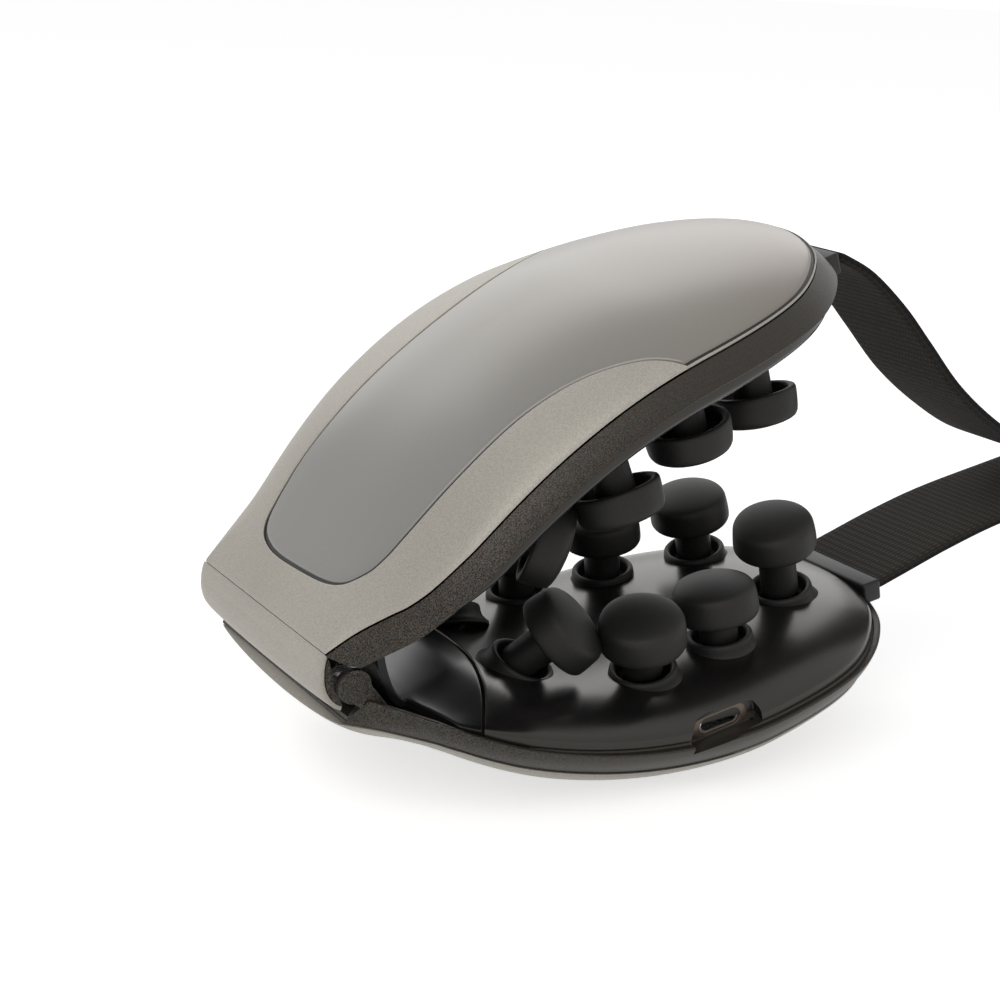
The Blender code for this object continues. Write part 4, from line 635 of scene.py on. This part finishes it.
def make_brushed_steel():
    tree, shader = start_finish("bright_steel", 1.0)
    inputs = {"Vector": object_place(tree), "Scale": (1.0, 60.0, 60.0)}
    streaks = noise(tree, 90.0, 3.0, add_node(tree, "ShaderNodeMapping", inputs).outputs[0])
    color = ramp(tree, streaks, ((0.3, (0.5, 0.5, 0.51)), (0.7, (0.64, 0.63, 0.62))))
    join(tree, color, shader, "Base Color")
    roughen(tree, shader, streaks, 0.22, 0.38)


def make_board():
    """Green laminate with pale pads and dark parts in a grid."""
    tree, shader = start_finish("green_board", 0.0, Coat_Weight=0.3)
    inputs = {"Vector": object_place(tree), "Scale": 420.0}
    cells = add_node(tree, "ShaderNodeTexVoronoi", inputs, distance="CHEBYCHEV").outputs["Distance"]
    color = ramp(tree, cells, ((0.0, (0.55, 0.45, 0.2)), (0.16, (0.02, 0.13, 0.05)),
                               (0.7, (0.01, 0.08, 0.03))))
    join(tree, color, shader, "Base Color")
    join(tree, spread(tree, cells, 0.0, 0.5, 0.3, 0.55), shader, "Roughness")
    add_bump(tree, shader, cells, 0.3, 0.00005)


def make_finishes():
    moulded("champagne_shell", (0.395, 0.368, 0.322), (0.455, 0.428, 0.376), 0.3, 0.46, 3600.0,
            0.00002, 0.12, 0.35)
    make_smoky_panel()
    make_shaded_champagne_paint()
    moulded("satin_bezel", (0.105, 0.08, 0.06), (0.135, 0.105, 0.08), 0.6, 0.34, 3000.0,
            0.00002, 0.1)
    moulded("satin_black_pad", (0.007, 0.007, 0.007), (0.011, 0.01, 0.01), 0.0, 0.25, 2600.0,
            0.00001, 0.08, 0.5, Specular_Tint=(1.0, 0.93, 0.84, 1.0))
    moulded("glossy_black_liner", (0.006, 0.006, 0.006), (0.009, 0.009, 0.009), 0.0, 0.27, 1800.0,
            0.00001, 0.05, 0.3)
    moulded("charcoal_silicone", (0.014, 0.014, 0.014), (0.019, 0.018, 0.018), 0.0, 0.55, 2400.0,
            0.00002, 0.1, 0.32, Specular_Tint=(1.0, 0.95, 0.9, 1.0))
    moulded("black_plastic", (0.008, 0.008, 0.008), (0.014, 0.014, 0.014), 0.0, 0.42, 3000.0,
            0.00003, 0.12, 0.35)
    moulded("white_nylon", (0.62, 0.6, 0.54), (0.72, 0.7, 0.64), 0.0, 0.48, 1400.0, 0.00002, 0.04)
    moulded("silver_cell", (0.44, 0.45, 0.47), (0.58, 0.59, 0.61), 0.85, 0.36, 700.0, 0.00012, 0.06)
    make_elastic()
    make_brushed_steel()
    make_board()


# Outer pieces of a lobe

def make_front_panel(side):
    """Smoky panel: its outer face, a rounded rim and a flat inside."""
    def inside(x, distances):
        return np.minimum(dome_at(x, distances) + 1.2, shell_level(x) - 0.3)

    centre = dome_level(CENTRE[0], 0.0)
    rim = ((0.55, 0.0), (0.36, 0.03), (0.19, 0.1), (0.07, 0.23), (0.0, 0.42))
    rings = [middle_ring(centre)]
    rings += [dish(PANEL_REACH * s, on_dome(0.0)) for s in np.linspace(0.08, 0.96, 18)]
    rings += [dish(PANEL_REACH - inset, on_dome(drop)) for inset, drop in rim]
    rings += [dish(PANEL_REACH * s, inside) for s in INWARD]
    rings.append(middle_ring(centre + 1.2))
    panel = skin(side + "_smoky_panel", rings, LOBES[side])
    if side == "lower":
        for vert in panel.data.vertices:
            vert.co.z = max(vert.co.z, 0.0)
    dress(panel, "smoky_panel", side + "_lobe", side + "_front_panel")


def make_painted_gap_shadow(side):
    """Black strip at the bottom of the gap between the panel and the shell: a painted shadow, dark
    where the gap only holds shade.
    """
    inner, outer = PANEL_REACH + 0.02, RECESS_REACH - 0.02
    corners = ((inner, 0.42), (outer, 0.42), (outer, 1.1), (inner, 1.1))
    rings = [dish(distances, on_dome(depth)) for distances, depth in corners]
    shade_strip = skin(side + "_gap_shadow_strip", rings, LOBES[side], closed=True)
    # Painted shadow: black plastic standing in for the shade inside the panel gap
    dress(shade_strip, "black_plastic", side + "_lobe")


def make_outer_shell(side):
    """Champagne shell: the crescent round the panel, its rim, the panel's seat and the inside."""
    def seat(x, distances):
        return np.minimum(dome_at(x, distances) + 1.7, shell_level(x))

    def inside(x, distances):
        wall = np.where(distances <= PANEL_REACH + SHELL_WALL, 2.9, SHELL_WALL)
        rim = shell_level(x) + np.minimum(SHELL_REACH - distances, SHELL_WALL)
        return np.minimum(rim, dome_at(x, distances) + wall)

    centre = dome_level(CENTRE[0], 0.0) + 1.7
    rings = [middle_ring(centre)]
    rings += [dish(RECESS_REACH * s, seat) for s in (0.3, 0.6, 0.85, 0.96, 1.0)]
    width = SHELL_REACH - RECESS_REACH
    softening = np.minimum(0.3, width * 0.3)
    rings += [dish(RECESS_REACH + softening * out, on_dome(drop))
              for out, drop in ((0.0, 0.24), (0.25, 0.08), (0.6, 0.016), (1.0, 0.0))]
    for share in (0.12, 0.25, 0.4, 0.55, 0.7, 0.82, 0.9, 0.95, 0.98):
        between = RECESS_REACH + softening + (width - softening) * share
        rings.append(dish(between, on_dome(0.0)))
    rings.append(dish(SHELL_REACH, lambda x, distances: shell_level(x)))
    if side == "lower":
        rings = [swell_by_hinge(ring) for ring in rings]
    lip = SHELL_REACH - SHELL_WALL
    step = np.minimum(PANEL_REACH + SHELL_WALL, lip - 0.3)
    rings += [dish(lip, inside), dish((lip + step) / 2, inside)]
    rings += [dish(step * s, inside) for s in (1.0, 0.8, 0.5, 0.2)]
    rings.append(middle_ring(centre + 1.2))
    shell = tidy_mesh(skin(side + "_champagne_shell", rings, LOBES[side]))
    cut(shell, [barrel_room(side)])
    dress(shell, "champagne_shell", side + "_lobe", side + "_outer_shell", crease=28)


def barrel_room(side):
    return rod("barrel_room", BARREL_ROOM[side], *BARREL_ENDS, LOBES[side])


def anchor_pocket(side):
    return block("anchor_pocket", ANCHOR_PLACE, (5.0, 30.6, 5.0), LOBES[side])


def swell_by_hinge(ring):
    """Push the shell out from the hinge axis in the middle of its straight edge."""
    share = clamp((ring[:, 1] - 1.0) / 54.6)
    near = clamp((15.0 - ring[:, 0]) / 14.0)
    push = SHELL_SWELL * (4.0 * share * (1.0 - share)) ** 0.75 * near * near * (3.0 - 2.0 * near)
    away = ring[:, (0, 2)] / np.maximum(np.linalg.norm(ring[:, (0, 2)], axis=1, keepdims=True), 1.0)
    moved = ring.copy()
    moved[:, (0, 2)] += away * push[:, None]
    return moved


def closed_outlines():
    """Face and shell outlines paired point by point, the straight hinge edge included."""
    steps = np.linspace(0.0, 1.0, 26)[1:-1, None]
    return [np.vstack((line, line[-1] + (line[0] - line[-1]) * steps)) for line in (FACE, SHELL)]


def housing_rings():
    """Rings of the housing: the deck, the lip round the pad, the wall and the inside."""
    face, shell = closed_outlines()
    far = np.linalg.norm(face - CENTRE, axis=1)
    foot_far = np.linalg.norm(shell - CENTRE, axis=1)

    def ring(distances, level, outline=face, length=far):
        places = CENTRE + (outline - CENTRE) * np.reshape(distances / length, (-1, 1))
        return np.column_stack((places, level(places[:, 0], distances / length)))

    def under(offset):
        return lambda x, share: face_level(x, share) - offset

    def lip(drop):
        return lambda x, share: edge_level(x) - drop

    seat = far - SEAT_INSET
    deck = face_level(CENTRE[0], 0.0) - 2.1
    rings = [middle_ring(deck)]
    rings += [ring(seat * s, under(2.1)) for s in (0.2, 0.45, 0.65, 0.8, 0.9, 0.96, 1.0)]
    for inset, drop in ((SEAT_INSET, 0.12), (1.3, 0.02), (1.1, 0.0), (0.42, 0.0), (0.22, 0.05),
                        (0.08, 0.15), (0.0, 0.32)):
        rings.append(ring(far - inset, lip(drop)))
    top = edge_level(face[:, 0]) - 0.32
    foot = shell_level(shell[:, 0]) + 0.4
    for share in np.linspace(0.08, 1.0, 9):
        arm = face + (shell - face) * share - CENTRE
        length = np.linalg.norm(arm, axis=1, keepdims=True)
        places = CENTRE + arm * (1.0 + 0.3 * 4.0 * share * (1.0 - share) / length)
        rings.append(np.column_stack((places, top + (foot - top) * share)))
    rings.append(ring(foot_far - 1.6, lambda x, share: shell_level(x) + 2.0, shell, foot_far))
    rings += [ring((seat - 1.6) * s, under(3.5)) for s in INWARD]
    rings.append(middle_ring(deck - 1.4))
    return rings


def make_inner_housing(side):
    """Wall between the shell and the face in champagne paint darkened as painted shade, with the lip
    round the pad and the deck.
    """
    housing = tidy_mesh(skin(side + "_painted_shade_housing", housing_rings(), LOBES[side]))
    cutters = [barrel_room(side), anchor_pocket(side)]
    cutters += [foot_hole(number, side) for number in range(HEADS)]
    if side == "lower":
        port_block = block("port_block", (63.8, -9.9, -27.95), (14.0, 9.8, 2.5), LOWER)
        cut(housing, [port_block] + hinge_lugs(), "UNION")
        cutters += [port_recess(), prism("button_slot", button_bar(11.6, 3.2), 60.0, 75.0, LOWER),
                    prism("port_pocket", port_bar(9.5, 3.8), -12.8, -5.0, LOWER),
                    rod("pin_bore", 1.6, -12.0, 68.0, LOWER, 32)]
    cut(housing, cutters)
    # Painted shade: the wall takes the shell's paint darkened, not a colour of its own
    dress(housing, "dark_bronze", side + "_lobe", side + "_inner_housing", crease=30)


def head_foot(number):
    along, across = HEAD_PLACES[number]
    x, y = 68.0 + 32.0 * along, 26.0 + 24.5 * across
    return Vector((x, y, face_at(x, y)))


def head_lean(number):
    """Direction from a head's neck to its cap, and the distance between them."""
    offset = HEAD_RISE * Vector(CAP_OFFSETS[number]) - 0.8 * UP
    return offset.normalized(), offset.length


def profile_rings(profile, place, segments=HEAD_SEGMENTS):
    """Rings of a turned part from its (radius, height) pairs; a radius of 0 gives one point."""
    return [circle(r, height, place, segments if r > 0.0 else 1) for r, height in profile]


def drill(name, radius, low, high, place, side, segments):
    """A round cutter along a place's Z."""
    profile = ((0.0, low), (radius, low), (radius, high), (0.0, high))
    return skin(name, profile_rings(profile, place, segments), LOBES[side])


def foot_hole(number, side):
    foot = head_foot(number)
    place = Matrix.Translation((foot.x, foot.y, 0.0))
    return drill("foot_hole", 2.2, foot.z - 9.0, foot.z + 4.0, place, side, 32)


def collar_frame(number):
    lean = head_lean(number)[0]
    return aim(head_foot(number), (0.6 * lean + 0.4 * UP).normalized())


def port_recess():
    """Cutter for the arched recess round the charging port, flared to its nose side."""
    outline = [(55.6, -28.0), (55.9, -26.6), (56.5, -25.0), (57.2, -24.0), (58.6, -23.3),
               (70.2, -23.3), (71.0, -23.5), (71.6, -24.0), (71.9, -24.7), (72.0, -25.4),
               (72.0, -28.0)]
    return bevel(prism("port_recess", outline, -42.0, -12.6, LOWER), 0.25, 2, 50)


def hinge_lugs():
    """Two ears that carry the hinge pin, each a round end on a slanting arm."""
    lugs = []
    down = math.radians(-58.0)
    along = np.array((math.cos(down), math.sin(down)))
    across = np.array((-along[1], along[0]))
    turns = np.radians(np.linspace(45.0, 315.0, 40))
    outline = [3.1 * (math.cos(t) * along + math.sin(t) * across) for t in turns]
    outline += [7.5 * along - 1.7 * across, 7.5 * along + 1.7 * across]
    for start, end in ((EAR_ENDS[0], 0.3), (56.7, EAR_ENDS[1])):
        lug = prism("hinge_lug", [tuple(p) for p in outline], start, end, LOWER)
        lugs.append(bevel(lug, 0.18, 2, 50))
    return lugs


def make_face_pad(side):
    """Soft skin over the face side, with a well for each head and the port's recess."""
    centre = face_level(CENTRE[0], 0.0)
    rim = ((0.7, 0.0), (0.45, 0.05), (0.22, 0.17), (0.07, 0.36), (0.0, 0.6))
    rings = [middle_ring(centre)]
    rings += [dish(PAD_REACH * s, on_face(0.0)) for s in np.linspace(0.08, 0.97, 20)]
    rings += [dish(PAD_REACH - inset, on_face(-drop)) for inset, drop in rim]
    rings += [dish(PAD_REACH * s, on_face(-PAD_THICKNESS)) for s in INWARD]
    rings.append(middle_ring(centre - PAD_THICKNESS))
    pad = tidy_mesh(skin(side + "_satin_pad", rings, LOBES[side]))
    cutters = [anchor_pocket(side)]
    for number in range(HEADS):
        cutters.append(drill("head_well", 5.3, -12.0, 12.0, collar_frame(number), side, 64))
    if side == "lower":
        cutters.append(port_recess())
    cut(pad, cutters)
    dress(pad, "satin_black_pad", side + "_lobe", side + "_face_pad", crease=30)
    make_collars(side)


def make_collars(side):
    """Rolled rings round the heads' necks, each leaning a little over half with its head."""
    profile = [(5.15, -2.4), (4.15, -1.9), (4.15, -1.5), (5.0, -1.1), (5.15, -0.6), (5.15, 1.1),
               (5.22, 1.5), (5.42, 1.85), (5.75, 2.02), (6.08, 1.95), (6.34, 1.68), (6.45, 1.3),
               (6.5, 0.6), (6.62, 0.0), (6.9, -0.6), (7.4, -1.2), (7.9, -1.7), (7.9, -2.4)]
    for number in range(HEADS):
        name = f"{side}_head_collar_{number + 1}"
        collar = turned(name, profile, LOBES[side] @ collar_frame(number), 64)
        dress(collar, "charcoal_silicone", side + "_lobe", slot="satin_black_pad", crease=50)


def make_head(side, number):
    """Silicone kneading head: tail, bent neck and a cupped cap with a softly domed top."""
    pivot = head_foot(number) - 2.8 * UP
    neck = pivot + 3.6 * UP
    tip = -29.6 + 0.21 * max(0.0, 56.0 - pivot.x) - 1.9
    lean, length = head_lean(number)
    tail = ((0.0, tip), (1.4, tip), (1.8, tip + 0.4), (1.8, pivot.z + 2.2), (2.6, pivot.z + 2.45),
            (3.1, pivot.z + 2.8))
    rings = profile_rings(tail, Matrix.Translation((pivot.x, pivot.y, 0.0)))
    for radius, height, drop, share in ((3.5, 0.0, 0.35, 0.3), (3.7, 0.0, 0.0, 1.0),
                                        (3.72, 0.9, 0.0, 1.6)):
        bent = aim(neck - drop * UP, (share * lean + UP).normalized())
        rings.append(circle(radius, height, bent))
    cap = ((3.7, 1.2), (3.7, 2.4), (3.95, 2.8), (4.5, 3.0), (5.9, 3.0), (6.3, 2.8), (6.5, 2.4),
           (6.72, 0.7), (6.85, 0.25), (7.15, 0.02), (7.75, 0.0), (8.08, 0.16), (8.24, 0.5),
           (8.25, 1.2), (8.2, 2.2), (8.1, 3.4), (7.98, 4.4), (7.88, 4.9), (7.7, 5.3), (7.4, 5.72),
           (6.9, 6.02), (6.0, 6.34), (4.6, 6.68), (3.0, 6.93), (1.5, 7.06), (0.0, 7.1))
    rim = length - 3.5
    rings += profile_rings([(radius, rim + height) for radius, height in cap], aim(neck, lean))
    head = skin(f"{side}_silicone_head_{number + 1}", rings, LOBES[side])
    dress(head, "charcoal_silicone", f"{side}_head_{number + 1}",
          f"{side}_kneading_head_{number + 1}", crease=55)


def make_strap_anchor(side):
    """Slotted block that holds an end of the strap."""
    matrix = LOBES[side]
    anchor = bevel(block(side + "_anchor_block", ANCHOR_PLACE, (4.4, 30.0, 4.4), matrix), 0.6, 4)
    cut(anchor, [block("anchor_slot", (122.5, 27.0, -27.0), (4.4, 26.6, 2.4), matrix)])
    bevel(anchor, 0.15, 2, 60)
    dress(anchor, "black_plastic", side + "_lobe", side + "_strap_anchor")


# Hinge

def spine_section(t):
    """Outer and inner points of the spine cover at a share of its length, fuller in its middle."""
    shares = (1.51, 1.34, 1.2, 1.12, 1.06, 1.03, 1.01, 1.0, 1.0, 1.0)
    steps = np.linspace(0.0, 1.0, 60)
    swell = np.interp(steps, np.linspace(0.0, 1.0, 10), shares)
    full = 0.7 * (4.0 * t * (1.0 - t)) ** 0.6 * np.sin(math.pi * clamp(steps / 0.8 - 0.25))
    turns = np.radians(249.6 - 121.6 * steps)
    outer = 5.0 * swell + full
    direction = np.column_stack((np.cos(turns), np.sin(turns)))
    return direction * outer[:, None], direction * (outer - 0.8)[:, None]


def make_spine_cover():
    """Champagne cover over the hinge barrel, flush with the upper shell, and its ends in champagne
    paint darkened as painted shade.
    """
    rings = []
    for t in np.linspace(0.0, 1.0, 25):
        outer, inner = spine_section(t)
        section = np.vstack((outer, inner[::-1]))
        along = np.full(len(section), 0.9 + 55.2 * t)
        rings.append(np.column_stack((section[:, 0], along, section[:, 1])))
    cover = skin("champagne_spine_cover", rings, UPPER, caps=True)
    bevel(cover, 0.18, 2, 60)
    dress(cover, "champagne_shell", "upper_lobe", "hinge_spine_cover")
    inner = [tuple(p) for p in spine_section(0.0)[1] * 0.985]
    # End cheeks: champagne paint darkened as painted shade
    for name, start in (("near", 0.75), ("far", 55.35)):
        cheek = bevel(prism(f"spine_end_{name}", inner, start, start + 0.9, UPPER), 0.15, 2)
        dress(cheek, "dark_bronze", "upper_lobe")


def make_end_caps():
    profile = ((0.0, 0.0), (2.3, 0.0), (2.3, 0.1), (2.2, 0.22), (1.9, 0.3), (0.5, 0.3), (0.4, 0.15),
               (0.0, 0.15))
    # Hinge end caps in champagne paint darkened as painted shade
    for name, place, direction in (("near", EAR_ENDS[0], -1.0), ("far", EAR_ENDS[1], 1.0)):
        matrix = LOWER @ aim((0.0, place, 0.0), (0.0, direction, 0.0))
        cap = turned(f"painted_shade_hinge_cap_{name}", profile, matrix, 48)
        dress(cap, "dark_bronze", "lower_lobe", f"hinge_end_cap_{name}")


def liner_edges(x):
    """Where the liner starts and ends along Y at each x, inside the housing's lip."""
    half = len(FACE) // 2
    near = FACE[:half][FACE[:half, 0] <= 34.0]
    far = FACE[half:][FACE[half:, 0] <= 40.0][::-1]
    low = np.interp(x, near[:, 0], near[:, 1]) + 2.0
    high = np.interp(x, far[:, 0], far[:, 1]) - 2.0
    turn = np.minimum(1.0, 2.0 * clamp((x - BEND_X) / BEND_X))
    start, end = BARREL_ENDS
    return np.maximum(low, start + (low - start) * turn), np.minimum(high, end + (high - end) * turn)


def liner_rows(along, across):
    """Rows of the liner: up the lower face side, round the bend and down the upper one."""
    end_x = SEAM_X - SEAM_BEND
    share = np.linspace(0.0, 1.0, 25)
    turns = math.pi * np.linspace(0.0, 1.0, 33)[1:-1, None]
    seam_near, seam_far = liner_edges(np.array([end_x]))
    near, far = liner_edges(end_x + (BEND_X - end_x) * share)
    rows = []
    for v in np.linspace(0.0, 1.0, 61):
        y = near + (far - near) * v
        seam_y = (seam_near + (seam_far - seam_near) * v)[0]
        front = SEAM_X - SEAM_BEND * ((seam_y - CENTRE[1]) / SEAM_WIDTH) ** 2 - 0.3
        x = front + (BEND_X - front) * share
        edge = reach(FACE, angle_of(np.column_stack((x, y))))
        spoke = np.hypot(x - CENTRE[0], y - CENTRE[1]) / edge
        lower = np.column_stack((x, y, face_level(x, np.minimum(spoke, 1.0))))
        last = lower[-1]
        depth = last @ along - 7.0
        bend = (along * (last @ along - depth * np.sin(turns))
                + across * (last @ across) * np.cos(turns))
        bend[:, 1] = last[1]
        rows.append(np.vstack((lower, bend, fold_over(lower[::-1]))))
    return rows


def make_nose_liner():
    """Soft black liner from one pad's seam round the hinge to the other pad's seam."""
    half = FOLD / 2
    along = np.array((math.cos(half), 0.0, math.sin(half)))
    across = np.array((-math.sin(half), 0.0, math.cos(half)))
    rows = liner_rows(along, across)
    count = len(rows[0])
    faces = []
    for i in range(len(rows) - 1):
        for j in range(i * count, (i + 1) * count - 1):
            faces.append([j, j + 1, j + count + 1, j + count])
    liner = tidy_mesh(add_piece("glossy_nose_liner", np.vstack(rows), faces, LOWER))
    throat = LOWER @ Vector((14.0, 27.0, 0.0))
    middle = liner.data.polygons[len(faces) // 2]
    outward = 1.0 if middle.normal.dot(middle.center - throat) > 0.0 else -1.0
    apply_modifier(liner, "SOLIDIFY", thickness=1.6 * MM, offset=outward, use_even_offset=True)
    bevel(liner, 0.5, 3, 50)
    dress(liner, "glossy_black_liner", None, "nose_liner")
    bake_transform(liner)


# Strap

def strap_line():
    ends = np.array([(x, 0.0, z) for x, z in STRAP_ENDS])
    upper = fold_over(ends)[:, (0, 2)]
    middle = np.array(STRAP_PATH) * REACH
    lower = np.array(STRAP_ENDS)
    return np.vstack((upper[:1], spline(np.vstack((upper[1:], middle, lower[1:])), 12), lower[:1]))


def band_rings(line, section):
    """The band's section set square to its middle line at each of its points."""
    steps = np.gradient(line, axis=0)
    steps /= np.linalg.norm(steps, axis=1, keepdims=True)
    rings = []
    for (x, z), (along, up) in zip(line, steps):
        rings.append(np.array([(x - up * h, 27.0 + v, z + along * h) for v, h in section]))
    return rings


def make_head_strap():
    """Elastic band along its line, with soft edges, ribs by material and a UV map in metres."""
    line = strap_line()
    half = STRAP_WIDTH / 2
    top = [(-half, 0.0), (-12.93, 0.55), (-12.6, 0.85)]
    top += [(v, STRAP_THICKNESS / 2) for v in np.linspace(-11.5, 11.5, 24)]
    top += [(12.6, 0.85), (12.93, 0.55), (half, 0.0)]
    section = top + [(v, -h) for v, h in top[-2:0:-1]]
    count = len(section)
    strap = skin("elastic_head_strap", band_rings(line, section), LOWER, caps=True)
    mesh = strap.data
    lengths = np.linalg.norm(np.diff(line, axis=0), axis=1)
    length = np.concatenate(([0.0], np.cumsum(lengths))) * MM
    flat = mesh.uv_layers.new(name="flat")
    inner = mesh.attributes.new("inner_face", "FLOAT", "POINT")
    for index in range(len(mesh.vertices)):
        inner.data[index].value = 1.0 if section[index % count][1] < -0.3 else 0.0
    for loop in mesh.loops:
        row, column = divmod(loop.vertex_index, count)
        flat.data[loop.index].uv = (length[row], section[column][0] * MM)
    dress(strap, "dark_elastic", None, "head_strap", crease=180)
    start, end = (LOWER @ Vector((150.0, 27.0, level)) for level in (-8.0, 33.0))
    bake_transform(strap)
    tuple(start)
    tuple(end)


def make_slider():
    """Buckle with a window for each run of the band."""
    half = STRAP_THICKNESS / 2
    top = BAND_LEVELS[0] + half + 0.3 + 1.2
    bottom = BAND_LEVELS[1] - half - 0.3 - 1.2
    place = (SLIDER_X, 27.0, (top + bottom) / 2)
    slider = bevel(block("buckle_slider", place, (11.0, 29.0, top - bottom), LOWER), 1.0, 4)
    cut(slider, [block("slider_window", (SLIDER_X, 27.0, level), (22.0, 26.6, 2.4), LOWER)
                 for level in BAND_LEVELS])
    bevel(slider, 0.2, 2, 60)
    dress(slider, "black_plastic", "strap_slider", "strap_slider")


# Port and button

def make_port():
    """Steel port shell with its tongue and contacts, and the bronze bezel that frames it."""
    shell = prism("steel_port_shell", port_bar(8.9, 3.2), -12.3, -5.8, LOWER)
    cut(shell, [prism("port_mouth", port_bar(7.9, 2.2), -13.5, -6.3, LOWER)])
    bevel(shell, 0.12, 2, 60)
    dress(shell, "bright_steel", "lower_lobe", "usb_port_shell")
    tongue = block("port_tongue", (PORT_X, -8.95, PORT_Z), (6.6, 5.1, 0.7), LOWER)
    bevel(tongue, 0.12, 2)
    dress(tongue, "black_plastic", "lower_lobe", "usb_tongue")
    contacts = [block("contact", (PORT_X + 0.5 * n, -9.0, PORT_Z), (0.28, 4.6, 0.78), LOWER)
                for n in range(-5, 6)]
    bpy.ops.object.select_all(action="DESELECT")
    for contact in contacts:
        contact.select_set(True)
    bpy.context.view_layer.objects.active = contacts[0]
    bpy.ops.object.join()
    strip = bpy.context.object
    strip.name = "port_contacts"
    bevel(strip, 0.03, 1)
    dress(strip, "bright_steel", "lower_lobe")
    bezel = bevel(prism("port_bezel", port_bar(12.4, 3.9), -12.75, -12.2, LOWER), 0.25, 3, 60)
    cut(bezel, [prism("bezel_mouth", port_bar(9.1, 3.4), -14.0, -11.0, LOWER)])
    dress(bezel, "satin_bezel", "lower_lobe", slot="dark_bronze")


def make_power_button():
    """Button flush with the housing's far side, with a short groove for the fingertip."""
    face = (LOWER.inverted() @ Vector((0.0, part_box("power_button")[1].y, 0.0))).y
    button = prism("smoky_power_button", button_bar(11.0, 2.6), face - 5.6, face, LOWER)
    bevel(button, 0.4, 4, 60)
    cut(button, [prism("button_groove", button_bar(5.0, 0.5), face - 0.2, face + 1.0, LOWER)])
    dress(button, "smoky_panel", "power_button", "power_button")


def finish_inner_nodes():
    """Procedural finishes for the CAD nodes that keep their own shape."""
    kept = {"hinge_pin": "bright_steel", "upper_hinge_bracket": "bright_steel",
            "upper_bracket_screw_1": "bright_steel", "upper_bracket_screw_2": "bright_steel",
            "battery": "silver_cell", "circuit_board": "green_board"}
    for side in SIDES:
        kept.update(dict.fromkeys((side + "_worm", side + "_motor"), "bright_steel"))
        kept.update(dict.fromkeys((side + "_drive_plate", side + "_worm_wheel"), "white_nylon"))
    for name, finish in kept.items():
        for slot in frame["nodes"][name].material_slots:
            slot.material = FINISHES[finish]


# Stage, light and camera

def rays_to_background(tree):
    """1 for rays that should see a white background: camera, mirror and glass rays."""
    paths = add_node(tree, "ShaderNodeLightPath").outputs
    total = paths["Is Camera Ray"]
    for name in ("Is Glossy Ray", "Is Transmission Ray"):
        total = calculate(tree, "MAXIMUM", total, paths[name])
    return total


def make_world():
    world = bpy.data.worlds.new("studio")
    bpy.context.scene.world = world
    world.use_nodes = True
    tree = world.node_tree
    background = tree.nodes["Background"]
    background.inputs["Color"].default_value = (1.0, 1.0, 1.0, 1.0)
    strength = spread(tree, rays_to_background(tree), 0.0, 1.0, 0.42, 1.0)
    join(tree, strength, background, "Strength")


def make_floor():
    """Wide white floor: lit like the object, lifted to white for the camera, and keeping shadows."""
    bpy.ops.mesh.primitive_plane_add(size=14.0)
    floor = bpy.context.object
    floor.name = "studio_floor"
    tree, shader = start_finish("studio_white", Base_Color=(0.86, 0.86, 0.86, 1.0), Roughness=0.9,
                                Specular_IOR_Level=0.0)
    lift = calculate(tree, "MULTIPLY", rays_to_background(tree), 0.62)
    glow = add_node(tree, "ShaderNodeEmission", {"Strength": lift}).outputs[0]
    both = add_node(tree, "ShaderNodeAddShader", {0: shader.outputs[0], 1: glow}).outputs[0]
    join(tree, both, tree.nodes["Material Output"], "Surface")
    floor.data.materials.append(FINISHES["studio_white"])


def add_lamp(name, place, target, size, power):
    light = bpy.data.lights.new(name, "AREA")
    light.shape = "RECTANGLE"
    light.size, light.size_y = size
    light.energy = power
    lamp = add_object(name, light)
    lamp.location = place
    lamp.rotation_euler = (Vector(target) - Vector(place)).to_track_quat("-Z", "Y").to_euler()


def make_lamps():
    add_lamp("key_soft_box", (-1.0, -0.9, 1.2), (0.0, 0.0, 0.04), (1.5, 1.5), 9.0)
    add_lamp("rear_soft_box", (0.4, 1.3, 0.8), (0.0, 0.0, 0.03), (1.8, 0.8), 5.0)


def make_camera():
    """Camera at the place and turn solved from the photograph."""
    turn = (Matrix.Rotation(-CAMERA_YAW, 3, "Z")
            @ Matrix.Rotation(math.pi / 2 - CAMERA_ELEVATION, 3, "X")
            @ Matrix.Rotation(CAMERA_ROLL, 3, "Z"))
    turn = (LOWER.to_3x3() * (1.0 / MM)) @ turn
    camera = bpy.data.cameras.new("photo_camera")
    camera.sensor_width = SENSOR_WIDTH
    camera.lens = CAMERA_LENS
    camera.clip_start = 0.01
    camera.clip_end = 20.0
    holder = add_object("photo_camera", camera)
    holder.matrix_world = Matrix.Translation(LOWER @ Vector(CAMERA_PLACE)) @ turn.to_4x4()
    bpy.context.scene.camera = holder


def main():
    bpy.context.scene.view_settings.view_transform = "Standard"
    make_finishes()
    for side in SIDES:
        make_front_panel(side)
        make_painted_gap_shadow(side)
        make_outer_shell(side)
        make_inner_housing(side)
        make_face_pad(side)
        make_strap_anchor(side)
        for number in range(HEADS):
            make_head(side, number)
    make_spine_cover()
    make_end_caps()
    make_nose_liner()
    make_port()
    make_power_button()
    make_slider()
    make_head_strap()
    finish_inner_nodes()
    make_world()
    make_floor()
    make_lamps()
    make_camera()


main()
